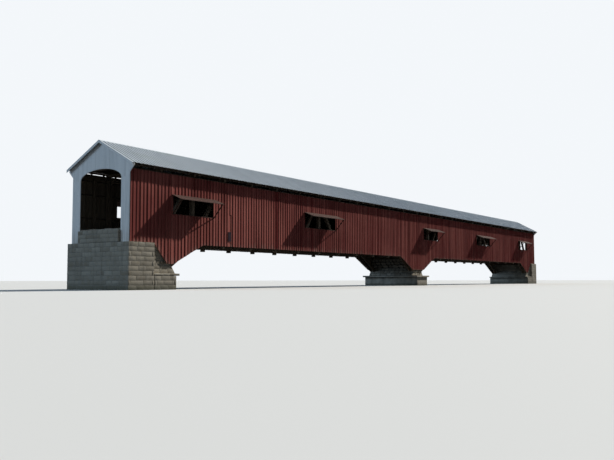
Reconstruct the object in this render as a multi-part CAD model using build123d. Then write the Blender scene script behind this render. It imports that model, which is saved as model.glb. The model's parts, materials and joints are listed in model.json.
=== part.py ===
"""A long two-span covered timber bridge, as a 1:10 model.

Two timber trusses, each a row of posts and braces with a pair of arch ribs bolted to its faces,
carry a plank road between them. Board siding hangs on the outside of the trusses, with five
hooded windows a side, and drops in skirts over the arch feet at the pier and the abutments.
A ribbed metal roof on rafters covers it all, and a boarded portal closes each end.

Every size is in millimetres of the model, so 1 mm here is 1 cm of the bridge itself.
X runs along the bridge, Y across it and Z up. The origin is on the ground under the middle
of the pier. The south side is the one towards -Y, and west is towards -X.
"""

import math
import os

from build123d import *

# Layout along the bridge
panels_per_span = 12
panel_length = 316.0
portal_overhang = 278.0
roof_overhang_at_portal = 20.0

# Heights above the ground
siding_bottom_z = 300.0
siding_top_z = 755.0
lower_chord_bottom_z = 305.0
upper_chord_bottom_z = 740.0
roof_eave_z = 786.0

# Truss members, with depths along Z and thicknesses along Y
chord_leaf_depth = 33.0
chord_leaf_thickness = 10.0
upper_chord_depth = 25.0
post_width = 30.0
post_thickness = 25.0
post_tail_length = 22.0
pier_tail_length = 12.0
brace_depth = 25.0
brace_thickness = 20.0
brace_seat_step = 3.0
arch_depth = 35.0
arch_thickness = 14.0
arch_crown_z = 720.0
arch_foot_z = 165.0
arch_foot_setback = 95.5
chord_end_length = 58.0

# Cross section
siding_half_width = 270.0
siding_thickness = 2.5
girt_thickness = 5.0
girt_depth = 10.0
board_gap = 0.2

# Floor
floor_beam_depth = 26.0
floor_beam_width = 15.0
beam_to_post = 30.0
beam_to_pier_post = 60.0
beam_to_arch_gap = 2.0
stringer_depth = 14.0
stringer_width = 8.0
stringer_edge_inset = 13.0
stringers_each_side = 4
deck_thickness = 6.0
deck_to_arch_gap = 4.5
runner_width = 60.0
runner_thickness = 3.0
runner_offset = 75.0
wheel_guard_size = 12.0

# Roof
roof_slope = 0.544
eave_overhang = 42.5
roof_sheet_thickness = 1.0
lath_thickness = 2.5
lath_width = 10.0
laths_each_side = 6
lath_eave_inset = 9.0
lath_ridge_inset = 12.0
rafter_depth = 15.0
rafter_width = 5.0
rafters_per_panel = 3
rafter_tail_inset = 6.5
ridge_board_thickness = 2.5
ridge_board_depth = 20.0
ridge_cap_half_width = 15.0
ridge_cap_thickness = 1.0
rake_board_thickness = 3.0
rake_board_depth = 16.0
tie_beam_depth = 20.0
tie_beam_width = 20.0
plate_width = 20.0
knee_reach = 54.0
knee_depth = 10.0
knee_width = 10.0
lateral_width = 10.0
lateral_depth = 9.0
lateral_gap = 0.4
lateral_end_inset = 45.0

# Portals
portal_thickness = 5.0
portal_jamb_width = 77.0
portal_spring_z = 705.0
portal_arch_rise = 65.0
portal_ear_bottom_z = 731.0
portal_ear_reach = 39.0
portal_ear_depth = 12.0
portal_post_size = 20.0
overhang_post_inset = 150.0

# Siding girts, each at the height of its lower edge
girt_heights = (312.0, 470.0, 628.0, 722.0)
skirt_girt_z = 171.0
skirt_girt_half_length = 118.0

# Windows, each as the truss node it is set at, counted from the west end, then how far east of that
# node its middle is, then its width
window_places = ((1, -17.0, 400.0), (6, -14.0, 478.0), (13, 14.0, 365.0), (18, 39.0, 478.0), (23, 44.0, 375.0))
window_sill_z = 494.0
window_head_z = 618.0
sill_thickness = 3.0
sill_projection = 4.0
sill_depth = 9.0
hood_side_overlap = 16.0
hood_top_z = 627.0
hood_projection = 93.0
hood_drop = 39.0
hood_thickness = 4.0
hood_strut_size = 6.0
hood_strut_inset = 7.0

# Skirts over the arch feet, measured from the truss node that each one covers
skirt_bottom_z = 167.0
pier_skirt_top_reach = 411.0
pier_skirt_bottom_reach = 134.0
abutment_skirt_top_reach = 395.0
abutment_skirt_bottom_reach = 110.0
abutment_skirt_bottom_length = 60.0
abutment_skirt_back_reach = 70.0

# Pier and abutments
pier_half_length = 120.0
pier_side_reach = 45.0
ledge_z = 106.0
ledge_course_depth = 16.0
ledge_overhang = 30.0
ledge_side_overhang = 12.0
skewback_top_z = 190.0
bearing_seat_z = 285.0
bed_timber_width = 24.0
bed_timber_offset = 42.0
abutment_side_reach = 22.0
abutment_back_length = 20.0
backwall_setback = 60.0
wing_wall_setback = 78.0

# Places worked out from the sizes above
span = panels_per_span * panel_length
end_node_x = span
half_length = span + portal_overhang
post_half = post_width / 2
lower_chord_top_z = lower_chord_bottom_z + chord_leaf_depth
upper_chord_top_z = upper_chord_bottom_z + upper_chord_depth
arch_outer_face = siding_half_width - siding_thickness - girt_thickness
post_outer_face = arch_outer_face - arch_thickness
post_inner_face = post_outer_face - post_thickness
arch_inner_face = post_inner_face - arch_thickness
truss_y = (post_outer_face + post_inner_face) / 2
tie_beam_top_z = upper_chord_top_z + tie_beam_depth
floor_beam_top_z = lower_chord_top_z + floor_beam_depth
deck_half_width = arch_inner_face - deck_to_arch_gap
portal_opening_half_width = siding_half_width - portal_jamb_width
pier_half_width = siding_half_width + pier_side_reach
abutment_half_width = siding_half_width + abutment_side_reach
stringer_top_z = floor_beam_top_z + stringer_depth
deck_top_z = stringer_top_z + deck_thickness
eave_y = siding_half_width + eave_overhang
slope_stretch = math.sqrt(1 + roof_slope**2)
chord_end_x = end_node_x + chord_end_length
windows = [(i * panel_length - end_node_x + offset, width) for i, offset, width in window_places]

# The arch is a circular arc through both feet and the crown
arch_half_span = span / 2 - arch_foot_setback
arch_rise = arch_crown_z - arch_foot_z
arch_radius = (arch_half_span**2 + arch_rise**2) / (2 * arch_rise)
arch_end_angle = math.asin(arch_half_span / arch_radius)
skew_slope = math.tan(arch_end_angle)


def roof_height(y, depth_below=0.0):
    """Height of the roof plane at a distance y from the middle, depth_below the sheet's top face."""
    return roof_eave_z + (eave_y - abs(y)) * roof_slope - depth_below * slope_stretch


sheet_underside = roof_sheet_thickness
lath_underside = sheet_underside + lath_thickness
rafter_underside = lath_underside + rafter_depth


def block(x0, x1, y0, y1, z0, z1):
    """A box between two corners."""
    middle = ((x0 + x1) / 2, (y0 + y1) / 2, (z0 + z1) / 2)
    return Pos(*middle) * Box(abs(x1 - x0), abs(y1 - y0), abs(z1 - z0))


def side_plate(points, y0, y1):
    """An outline of (x, z) points, made solid from y0 to y1."""
    face = make_face(Polyline(*[(x, y0, z) for x, z in points], close=True))
    return extrude(face, amount=y1 - y0, dir=(0, 1, 0))


def cross_plate(points, x0, x1):
    """An outline of (y, z) points, made solid from x0 to x1."""
    face = make_face(Polyline(*[(x0, y, z) for y, z in points], close=True))
    return extrude(face, amount=x1 - x0, dir=(1, 0, 0))


def plan_plate(points, z0, z1):
    """An outline of (x, y) points, made solid from z0 to z1."""
    face = make_face(Polyline(*[(x, y, z0) for x, y in points], close=True))
    return extrude(face, amount=z1 - z0, dir=(0, 0, 1))


def both_sides(make_one):
    """A piece made for the south side and for the north side, as one list."""
    return [*make_one(-1), *make_one(1)]


def between(side, near, far):
    """The two Y values of a piece that lies between two distances from the middle."""
    return sorted((side * near, side * far))


def arch_height(x):
    """Height of the arch's centre line above the ground, at a place along the bridge."""
    from_crown = abs(abs(x) - span / 2)
    return arch_crown_z - arch_radius + math.sqrt(arch_radius**2 - from_crown**2)


# Trusses


def brace_angle():
    """Slope of a brace whose square ends sit on the shoulders of the posts."""
    height = upper_chord_bottom_z - lower_chord_top_z - 2 * brace_seat_step
    angle = math.atan2(height, panel_length)
    for _ in range(40):
        rise = height - brace_depth * math.cos(angle)
        run = panel_length - post_width - brace_depth * math.sin(angle)
        angle = math.atan2(rise, run)
    return angle


brace_tilt = brace_angle()
shoulder_reach = post_half + brace_depth * math.sin(brace_tilt)
shoulder_rise = brace_seat_step + brace_depth * math.cos(brace_tilt)


def post(x, side, feet, heads, tail_length):
    """A post with shoulders for braces. Feet and heads name the sides, -1 or 1, that have one."""
    bottom, top = lower_chord_top_z, upper_chord_bottom_z

    def half_outline(way):
        points = [(way * post_half, lower_chord_bottom_z - tail_length), (way * post_half, bottom)]
        if way in feet:
            points += [(way * shoulder_reach, bottom), (way * shoulder_reach, bottom + brace_seat_step)]
            points += [(way * post_half, bottom + shoulder_rise)]
        if way in heads:
            points += [(way * post_half, top - shoulder_rise)]
            points += [(way * shoulder_reach, top - brace_seat_step), (way * shoulder_reach, top)]
        if way not in heads:
            points += [(way * post_half, top)]
        return points

    outline = half_outline(1) + half_outline(-1)[::-1]
    body = side_plate(outline, *between(side, post_inner_face, post_outer_face))
    for near, far in chord_leaf_faces():
        leaf = between(side, near, far)
        body -= block(-shoulder_reach, shoulder_reach, *leaf, lower_chord_bottom_z, lower_chord_top_z)
    return Pos(x, 0, 0) * body


def chord_leaf_faces():
    """The near and far face of each of the two leaves of a lower chord."""
    return (
        (post_inner_face, post_inner_face + chord_leaf_thickness),
        (post_outer_face - chord_leaf_thickness, post_outer_face),
    )


def node_positions():
    """Every truss node along the bridge, from the west end to the east."""
    return [-end_node_x + i * panel_length for i in range(2 * panels_per_span + 1)]


def truss_posts(side):
    posts = []
    half = panels_per_span // 2
    for i, x in enumerate(node_positions()):
        place = i % panels_per_span
        if i == 0:
            feet, heads = (1,), ()
        elif i == 2 * panels_per_span:
            feet, heads = (-1,), ()
        elif place == 0:
            feet, heads = (-1, 1), ()
        elif place == half:
            feet, heads = (), (-1, 1)
        elif place < half:
            feet, heads = (1,), (-1,)
        else:
            feet, heads = (-1,), (1,)
        tail = pier_tail_length if place == 0 else post_tail_length
        posts.append(post(x, side, feet, heads, tail))
    return posts


def truss_braces(side):
    """One brace a panel, rising towards the middle of its span."""
    half_depth = brace_depth / 2
    across = (half_depth * math.sin(brace_tilt), half_depth * math.cos(brace_tilt))
    braces = []
    for i, x in enumerate(node_positions()[:-1]):
        rising_east = i % panels_per_span < panels_per_span // 2
        foot_x = post_half + across[0]
        foot_z = lower_chord_top_z + brace_seat_step + across[1]
        head_x = panel_length - foot_x
        head_z = upper_chord_bottom_z - brace_seat_step - across[1]
        outline = [
            (foot_x - across[0], foot_z + across[1]),
            (foot_x + across[0], foot_z - across[1]),
            (head_x + across[0], head_z - across[1]),
            (head_x - across[0], head_z + across[1]),
        ]
        if rising_east:
            outline = [(x + px, pz) for px, pz in outline]
        else:
            outline = [(x + panel_length - px, pz) for px, pz in outline]
        faces = between(side, truss_y - brace_thickness / 2, truss_y + brace_thickness / 2)
        braces.append(side_plate(outline, *faces))
    return braces


def arch_rib(middle_x, y0, y1):
    """One rib of an arch: a curved band with ends square to its line."""
    centre_z = arch_crown_z - arch_radius

    def on_arc(radius, angle):
        return (middle_x + radius * math.sin(angle), y0, centre_z + radius * math.cos(angle))

    top, under = arch_radius + arch_depth / 2, arch_radius - arch_depth / 2
    edges = [
        ThreePointArc(on_arc(top, -arch_end_angle), on_arc(top, 0), on_arc(top, arch_end_angle)),
        Line(on_arc(top, arch_end_angle), on_arc(under, arch_end_angle)),
        ThreePointArc(on_arc(under, arch_end_angle), on_arc(under, 0), on_arc(under, -arch_end_angle)),
        Line(on_arc(under, -arch_end_angle), on_arc(top, -arch_end_angle)),
    ]
    return extrude(make_face(edges), amount=y1 - y0, dir=(0, 1, 0))


def arch_pair(side, way):
    """The two ribs that clasp one truss in one span."""
    middle_x = way * span / 2
    return [
        arch_rib(middle_x, *between(side, arch_inner_face, post_inner_face)),
        arch_rib(middle_x, *between(side, post_outer_face, arch_outer_face)),
    ]


def lower_chord(side):
    """Two leaves that clasp the necks of the posts, from one abutment to the other."""
    return [
        block(-chord_end_x, chord_end_x, *between(side, near, far), lower_chord_bottom_z, lower_chord_top_z)
        for near, far in chord_leaf_faces()
    ]


def upper_chord(side):
    end_x = half_length - portal_thickness
    faces = between(side, post_inner_face, post_outer_face)
    return [block(-end_x, end_x, *faces, upper_chord_bottom_z, upper_chord_top_z)]


# Floor


def arch_reach(radius, z):
    """Distance from a truss end node to where an arc of an arch rib climbs past a height."""
    return span / 2 - math.sqrt(radius**2 - (z - arch_crown_z + arch_radius) ** 2)


def clear_of_arch(x):
    """Move a beam along the bridge, if a rib passes through the place it was given."""
    clearance = floor_beam_width / 2 + beam_to_arch_gap
    first = arch_reach(arch_radius + arch_depth / 2, lower_chord_top_z) - clearance
    last = arch_reach(arch_radius - arch_depth / 2, floor_beam_top_z) + clearance
    from_node = span / 2 - abs(abs(x) - span / 2)
    if not first < from_node < last:
        return x
    nearest = first if from_node - first < last - from_node else last
    towards_middle = 1 if abs(x) < span / 2 else -1
    return x + math.copysign(nearest - from_node, x) * towards_middle


def floor_beam_places():
    """Beams at the middle of each panel and beside each post, clear of shoulders and arches."""
    places = []
    for i, x in enumerate(node_positions()):
        place = i % panels_per_span
        if i < 2 * panels_per_span:
            places.append(x + panel_length / 2)
        if i == 0:
            places.append(x - beam_to_post)
        elif i == 2 * panels_per_span:
            places.append(x + beam_to_post)
        elif place == 0:
            places += [x - beam_to_pier_post, x + beam_to_pier_post]
        elif place <= panels_per_span // 2:
            places.append(x - beam_to_post)
        else:
            places.append(x + beam_to_post)
    return [clear_of_arch(x) for x in places]


def floor_beams():
    half = floor_beam_width / 2
    return [
        block(x - half, x + half, -post_outer_face, post_outer_face, lower_chord_top_z, floor_beam_top_z)
        for x in floor_beam_places()
    ]


def stringers():
    half = stringer_width / 2
    spacing = (deck_half_width - stringer_edge_inset) / stringers_each_side
    lines = [i * spacing for i in range(-stringers_each_side, stringers_each_side + 1)]
    end_x = half_length - portal_thickness
    return [block(-end_x, end_x, y - half, y + half, floor_beam_top_z, stringer_top_z) for y in lines]


def deck():
    """The road, narrowed where it passes between the jambs of the portals."""
    end_x = half_length - portal_thickness
    jamb_y = portal_opening_half_width - board_gap
    road = block(-end_x, end_x, -deck_half_width, deck_half_width, stringer_top_z, deck_top_z)
    return [road + block(-half_length, half_length, -jamb_y, jamb_y, stringer_top_z, deck_top_z)]


def runners(side):
    faces = between(side, runner_offset - runner_width / 2, runner_offset + runner_width / 2)
    return [block(-half_length, half_length, *faces, deck_top_z, deck_top_z + runner_thickness)]


def wheel_guards(side):
    end_x = half_length - portal_thickness
    faces = between(side, deck_half_width - wheel_guard_size, deck_half_width)
    return [block(-end_x, end_x, *faces, deck_top_z, deck_top_z + wheel_guard_size)]


# Roof frame


def overhang_post_places():
    """Distances from the middle of the posts that carry the roof beyond the trusses."""
    portal_post_x = half_length - portal_thickness - portal_post_size / 2
    return (portal_post_x, portal_post_x - overhang_post_inset)


def overhang_posts(side):
    half = portal_post_size / 2
    faces = between(side, arch_outer_face - portal_post_size, arch_outer_face)
    places = [way * x for x in overhang_post_places() for way in (-1, 1)]
    return [block(x - half, x + half, *faces, floor_beam_top_z, upper_chord_bottom_z) for x in places]


def tie_beam_places():
    outer = overhang_post_places()[0]
    return [-outer, *node_positions(), outer]


def tie_beams():
    half = tie_beam_width / 2
    return [
        block(x - half, x + half, -arch_outer_face, arch_outer_face, upper_chord_top_z, tie_beam_top_z)
        for x in tie_beam_places()
    ]


def knee_braces(side):
    """Struts from each post to its tie beam. Where the arch is in the way they stand on its rib."""
    slant = knee_depth / math.sqrt(2)
    braces = []
    for x in node_positions():
        foot_z = upper_chord_top_z - knee_reach
        arch_top = arch_height(x) + arch_depth
        on_arch = abs(x) < end_node_x and x != 0 and arch_top > foot_z - slant
        foot_y = arch_inner_face if on_arch else post_inner_face
        head_y = foot_y - knee_reach
        outline = [
            (side * foot_y, foot_z - slant),
            (side * foot_y, foot_z + slant),
            (side * (head_y + slant), upper_chord_top_z),
            (side * (head_y - slant), upper_chord_top_z),
        ]
        braces.append(cross_plate(outline, x - knee_width / 2, x + knee_width / 2))
    return braces


def upper_laterals():
    """Crossed bars in plan between tie beams, one bar over the other in each panel."""
    bars = []
    end_y = post_inner_face - lateral_end_inset
    half = lateral_width / 2
    for x in node_positions()[:-1]:
        start = x + tie_beam_width / 2
        stop = x + panel_length - tie_beam_width / 2
        for way in (-1, 1):
            low = upper_chord_top_z if way < 0 else upper_chord_top_z + lateral_depth + lateral_gap
            outline = [
                (start, -way * end_y - half),
                (start, -way * end_y + half),
                (stop, way * end_y + half),
                (stop, way * end_y - half),
            ]
            bars.append(plan_plate(outline, low, low + lateral_depth))
    return bars


def rafter_plate(side):
    """A bevelled timber on the tie beams, its top cut to the slope of the rafters."""
    near, far = truss_y - plate_width / 2, truss_y + plate_width / 2
    end_x = half_length - portal_thickness
    outline = [
        (side * near, tie_beam_top_z),
        (side * far, tie_beam_top_z),
        (side * far, roof_height(far, rafter_underside)),
        (side * near, roof_height(near, rafter_underside)),
    ]
    return [cross_plate(outline, -end_x, end_x)]


def rafter_places():
    spacing = panel_length / rafters_per_panel
    count = int((half_length - portal_thickness - 2 * rafter_width) / spacing)
    inner = [i * spacing for i in range(-count, count + 1)]
    outer = half_length - portal_thickness - rafter_width / 2
    return [-outer, *inner, outer]


def rafters(side):
    ridge_y = ridge_board_thickness / 2
    tail_y = eave_y - rafter_tail_inset
    outline = [
        (side * ridge_y, roof_height(ridge_y, lath_underside)),
        (side * tail_y, roof_height(tail_y, lath_underside)),
        (side * tail_y, roof_height(tail_y, rafter_underside)),
        (side * ridge_y, roof_height(ridge_y, rafter_underside)),
    ]
    half = rafter_width / 2
    return [cross_plate(outline, x - half, x + half) for x in rafter_places()]


def ridge_board():
    half = ridge_board_thickness / 2
    top = roof_height(half, lath_underside)
    end_x = half_length - portal_thickness
    return [block(-end_x, end_x, -half, half, top - ridge_board_depth, top)]


def roof_laths(side):
    """Nailing strips along the roof, under the metal."""
    half = lath_width / slope_stretch / 2
    outer = eave_y - lath_eave_inset
    pitch = (outer - lath_ridge_inset) / (laths_each_side - 1)
    end_x = half_length + roof_overhang_at_portal - rake_board_thickness
    laths = []
    for i in range(laths_each_side):
        near, far = outer - i * pitch - half, outer - i * pitch + half
        outline = [
            (side * near, roof_height(near, sheet_underside)),
            (side * far, roof_height(far, sheet_underside)),
            (side * far, roof_height(far, lath_underside)),
            (side * near, roof_height(near, lath_underside)),
        ]
        laths.append(cross_plate(outline, -end_x, end_x))
    return laths


def roof_sheet(side):
    ridge_y = board_gap
    end_x = half_length + roof_overhang_at_portal
    outline = [
        (side * ridge_y, roof_height(ridge_y)),
        (side * eave_y, roof_height(eave_y)),
        (side * eave_y, roof_height(eave_y, sheet_underside)),
        (side * ridge_y, roof_height(ridge_y, sheet_underside)),
    ]
    return [cross_plate(outline, -end_x, end_x)]


def ridge_cap():
    end_x = half_length + roof_overhang_at_portal
    edge = ridge_cap_half_width
    rise = -ridge_cap_thickness
    outline = [
        (-edge, roof_height(edge)),
        (0, roof_height(0)),
        (edge, roof_height(edge)),
        (edge, roof_height(edge, rise)),
        (0, roof_height(0, rise)),
        (-edge, roof_height(edge, rise)),
    ]
    return [cross_plate(outline, -end_x, end_x)]


def rake_boards(side):
    """Boards that close the ends of the laths over each portal."""
    outer = half_length + roof_overhang_at_portal
    inner = outer - rake_board_thickness
    below = sheet_underside + rake_board_depth / slope_stretch
    outline = [
        (side * board_gap, roof_height(board_gap, sheet_underside)),
        (side * eave_y, roof_height(eave_y, sheet_underside)),
        (side * eave_y, roof_height(eave_y, below)),
        (side * board_gap, roof_height(board_gap, below)),
    ]
    return [cross_plate(outline, *sorted((way * inner, way * outer))) for way in (-1, 1)]


# Siding


def girts(side):
    """Rails that the siding is nailed to, with short ones low down in the skirts."""
    faces = between(side, arch_outer_face, arch_outer_face + girt_thickness)
    end_x = half_length - portal_thickness
    rails = [block(-end_x, end_x, *faces, z, z + girt_depth) for z in girt_heights]
    for x in (-end_node_x, 0, end_node_x):
        inner = x - skirt_girt_half_length if x >= 0 else x
        outer = x + skirt_girt_half_length if x <= 0 else x
        rails.append(block(inner, outer, *faces, skirt_girt_z, skirt_girt_z + girt_depth))
    return rails


def siding(side):
    """The boarded wall of one side, in panels beside, under and over its windows."""
    faces = between(side, siding_half_width - siding_thickness, siding_half_width)
    gap = board_gap / 2
    end_x = half_length - portal_thickness
    panels = []
    start = -end_x
    for centre, width in windows:
        left, right = centre - width / 2, centre + width / 2
        panels.append(block(start + gap, left - gap, *faces, siding_bottom_z, siding_top_z))
        panels.append(block(left + gap, right - gap, *faces, siding_bottom_z, window_sill_z))
        panels.append(block(left + gap, right - gap, *faces, window_head_z, siding_top_z))
        start = right
    panels.append(block(start + gap, end_x - gap, *faces, siding_bottom_z, siding_top_z))
    return panels


def skirts(side):
    """Boards that run on down over the arch feet at the pier and at both abutments."""
    faces = between(side, siding_half_width - siding_thickness, siding_half_width)
    top = siding_bottom_z - board_gap
    pier = [
        (-pier_skirt_top_reach, top),
        (-pier_skirt_bottom_reach, skirt_bottom_z),
        (pier_skirt_bottom_reach, skirt_bottom_z),
        (pier_skirt_top_reach, top),
    ]
    abutment = [
        (end_node_x - abutment_skirt_top_reach, top),
        (end_node_x - abutment_skirt_bottom_reach, skirt_bottom_z),
        (end_node_x - abutment_skirt_bottom_reach + abutment_skirt_bottom_length, skirt_bottom_z),
        (end_node_x + abutment_skirt_back_reach, top),
    ]
    west = [(-x, z) for x, z in abutment]
    return [side_plate(outline, *faces) for outline in (pier, abutment, west)]


# Windows


def window_sills(side):
    inner = siding_half_width + sill_projection - sill_depth
    faces = between(side, inner, siding_half_width + sill_projection)
    gap = board_gap / 2
    return [
        block(x - w / 2 + gap, x + w / 2 - gap, *faces, window_sill_z, window_sill_z + sill_thickness)
        for x, w in windows
    ]


def hood_height(y, below=0.0):
    """Height of a hood's top face at a distance y from the middle of the bridge."""
    return hood_top_z - (y - siding_half_width) * hood_drop / hood_projection - below


def window_hoods(side):
    wall, front = siding_half_width, siding_half_width + hood_projection
    outline = [
        (side * wall, hood_height(wall)),
        (side * front, hood_height(front)),
        (side * front, hood_height(front, hood_thickness)),
        (side * wall, hood_height(wall, hood_thickness)),
    ]
    return [
        cross_plate(outline, x - w / 2 - hood_side_overlap, x + w / 2 + hood_side_overlap)
        for x, w in windows
    ]


def hood_struts(side):
    """A strut beside each jamb, from the wall at the sill to the front of the hood."""
    wall = siding_half_width
    head = wall + hood_projection - hood_strut_inset
    inner_head = head - hood_strut_size
    outline = [
        (side * wall, window_sill_z - hood_strut_size),
        (side * head, hood_height(head, hood_thickness)),
        (side * inner_head, hood_height(inner_head, hood_thickness)),
        (side * wall, window_sill_z + hood_strut_size / 2),
    ]
    struts = []
    for x, w in windows:
        for way in (-1, 1):
            ends = sorted((x + way * w / 2, x + way * (w / 2 + hood_strut_size)))
            struts.append(cross_plate(outline, *ends))
    return struts


# Portals


def portal_faces(way):
    return sorted((way * (half_length - portal_thickness), way * half_length))


def portal_pilasters(way):
    """The boarded wall on each side of a portal's opening."""
    x0, x1 = portal_faces(way)
    return both_sides(
        lambda side: [
            block(
                x0,
                x1,
                *between(side, portal_opening_half_width, siding_half_width),
                siding_bottom_z,
                portal_spring_z - board_gap,
            )
        ]
    )


def portal_gable(way):
    """The boarded head of a portal, with ears under the eaves and an arched opening."""
    x0, x1 = portal_faces(way)
    edge = siding_half_width
    ear = edge + portal_ear_reach
    half = [
        (edge, portal_spring_z),
        (edge, portal_ear_bottom_z),
        (ear, roof_height(ear, lath_underside) - portal_ear_depth),
        (ear, roof_height(ear, lath_underside)),
        (0, roof_height(0, lath_underside)),
    ]
    outline = half + [(-y, z) for y, z in half[-2::-1]]
    across = Plane((x0, 0, portal_spring_z), x_dir=(0, 1, 0), z_dir=(1, 0, 0))
    arch = extrude(across * Ellipse(portal_opening_half_width, portal_arch_rise), amount=portal_thickness)
    return [cross_plate(outline, x0, x1) - arch]


# Masonry


def skewback_x(z):
    """Distance from a truss node of the sloping face that the arch feet press on."""
    return arch_foot_setback + (arch_foot_z - z) * skew_slope


def pier():
    """The pier up to its ledge, with a wider course as the cap."""
    under_cap = ledge_z - ledge_course_depth
    reach = pier_half_length + ledge_overhang
    width = pier_half_width + ledge_side_overhang
    shaft = block(-pier_half_length, pier_half_length, -pier_half_width, pier_half_width, 0, under_cap)
    return [shaft + block(-reach, reach, -width, width, under_cap, ledge_z)]


def pier_pedestal():
    """The upper pier inside the skirts, with a sloping skewback for the arches of each span."""
    foot, shoulder = skewback_x(ledge_z), skewback_x(skewback_top_z)
    outline = [
        (-foot, ledge_z),
        (foot, ledge_z),
        (shoulder, skewback_top_z),
        (shoulder, bearing_seat_z),
        (-shoulder, bearing_seat_z),
        (-shoulder, skewback_top_z),
    ]
    return [side_plate(outline, -arch_outer_face, arch_outer_face)]


def abutment(way):
    """A masonry abutment: front wall, skewback, bearing seat, back wall and wing walls."""
    front = end_node_x - pier_half_length
    ledge_front = front - ledge_overhang
    back = half_length + abutment_back_length
    core = [
        (front, 0),
        (front, ledge_z),
        (end_node_x - skewback_x(ledge_z), ledge_z),
        (end_node_x - skewback_x(skewback_top_z), skewback_top_z),
        (end_node_x - skewback_x(skewback_top_z), bearing_seat_z),
        (end_node_x + backwall_setback, bearing_seat_z),
        (end_node_x + backwall_setback, floor_beam_top_z),
        (half_length - portal_thickness, floor_beam_top_z),
        (half_length - portal_thickness, 0),
    ]
    wall = side_plate([(way * x, z) for x, z in core], -arch_outer_face, arch_outer_face)
    width = abutment_half_width
    plinth = block(way * front, way * back, -width, width, 0, ledge_z)
    ledge = block(
        way * ledge_front, way * front, -width, width, ledge_z - ledge_course_depth, ledge_z
    )
    wings = block(way * (end_node_x + wing_wall_setback), way * back, -width, width, 0, siding_bottom_z)
    behind_portal = half_length - portal_thickness
    jamb_y = portal_opening_half_width - board_gap
    threshold = block(way * behind_portal, way * back, -jamb_y, jamb_y, 0, stringer_top_z)
    return [wall + plinth + ledge + wings + threshold]


def bed_timbers():
    """Short timbers across the seats, under the lower chords."""
    half = bed_timber_width / 2
    places = [node + way * bed_timber_offset for node in (-end_node_x, 0, end_node_x) for way in (-1, 1)]
    return [
        block(x - half, x + half, -post_outer_face, post_outer_face, bearing_seat_z, lower_chord_bottom_z)
        for x in places
    ]


nodes = {
    "pier": pier(),
    "pier_pedestal": pier_pedestal(),
    "west_abutment": abutment(-1),
    "east_abutment": abutment(1),
    "bed_timbers": bed_timbers(),
    "lower_chord_south": lower_chord(-1),
    "lower_chord_north": lower_chord(1),
    "upper_chord_south": upper_chord(-1),
    "upper_chord_north": upper_chord(1),
    "posts_south": truss_posts(-1),
    "posts_north": truss_posts(1),
    "braces_south": truss_braces(-1),
    "braces_north": truss_braces(1),
    "arches_south_west": arch_pair(-1, -1),
    "arches_south_east": arch_pair(-1, 1),
    "arches_north_west": arch_pair(1, -1),
    "arches_north_east": arch_pair(1, 1),
    "floor_beams": floor_beams(),
    "stringers": stringers(),
    "deck": deck(),
    "runner_planks": both_sides(runners),
    "wheel_guards": both_sides(wheel_guards),
    "overhang_posts": both_sides(overhang_posts),
    "tie_beams": tie_beams(),
    "knee_braces": both_sides(knee_braces),
    "upper_laterals": upper_laterals(),
    "rafter_plates": both_sides(rafter_plate),
    "rafters": both_sides(rafters),
    "ridge_board": ridge_board(),
    "roof_laths": both_sides(roof_laths),
    "roof_sheet_south": roof_sheet(-1),
    "roof_sheet_north": roof_sheet(1),
    "ridge_cap": ridge_cap(),
    "rake_boards": both_sides(rake_boards),
    "siding_girts": both_sides(girts),
    "siding_south": siding(-1),
    "siding_north": siding(1),
    "skirts_south": skirts(-1),
    "skirts_north": skirts(1),
    "window_sills": both_sides(window_sills),
    "window_hoods": both_sides(window_hoods),
    "hood_struts": both_sides(hood_struts),
    "west_portal": portal_pilasters(-1) + portal_gable(-1),
    "east_portal": portal_pilasters(1) + portal_gable(1),
}

os.makedirs("parts", exist_ok=True)
for name, pieces in nodes.items():
    solids = [solid for piece in pieces for solid in piece.solids()]
    export_step(Compound(children=solids), f"parts/{name}.step")
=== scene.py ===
import json
import math
import random
from functools import partialmethod

import bmesh
import bpy
import numpy as np
from mathutils import Matrix, Vector


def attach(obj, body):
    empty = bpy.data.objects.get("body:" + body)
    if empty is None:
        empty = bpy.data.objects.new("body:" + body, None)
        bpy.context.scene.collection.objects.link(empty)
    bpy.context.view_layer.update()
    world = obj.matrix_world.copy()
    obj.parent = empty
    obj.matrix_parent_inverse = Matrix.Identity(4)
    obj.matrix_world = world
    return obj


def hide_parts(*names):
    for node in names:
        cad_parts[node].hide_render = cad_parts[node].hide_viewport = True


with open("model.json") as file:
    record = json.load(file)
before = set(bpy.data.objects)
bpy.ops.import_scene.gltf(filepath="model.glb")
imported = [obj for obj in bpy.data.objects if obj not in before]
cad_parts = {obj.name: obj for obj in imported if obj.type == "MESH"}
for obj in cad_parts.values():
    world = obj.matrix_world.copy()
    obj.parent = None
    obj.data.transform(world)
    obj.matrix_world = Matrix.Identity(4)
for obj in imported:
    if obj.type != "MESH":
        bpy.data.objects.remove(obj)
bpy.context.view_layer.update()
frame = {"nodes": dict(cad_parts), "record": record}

# Viewpoint of the photograph, in metres of the 1:10 model
EYE = (-7.193, -3.7066, 0.0614)
LOOK_YAW = 0.97531
LOOK_PITCH = 0.0677
LOOK_ROLL = -0.0016
LENS_MM = 43.17
SENSOR_MM = 36.0

# Lamps: name, the way towards it, strength, spread in degrees, colour
LAMPS = (
    ("key", (3.4, -0.93, 2.67), 4.4, 1.0, (1.0, 0.965, 0.90)),
    ("fill_on_the_portal", (-2.4, 2.3, 1.4), 0.85, 30.0, (0.52, 0.74, 1.0)),
)

# Fill from all round, as its colour and strength, and the colour of the backdrop
FILL = ((0.58, 0.79, 1.0, 1), 0.115)
BACKDROP = (0.90, 0.93, 0.96, 1)
STAGE_HALF = 60

# Layout along the bridge
SPAN = 3.792
PANEL = 0.316
NODES = [-SPAN + i * PANEL for i in range(25)]
WALL_END = 4.065
PORTAL_FACE = 4.07
ROOF_END = 4.09

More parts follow.
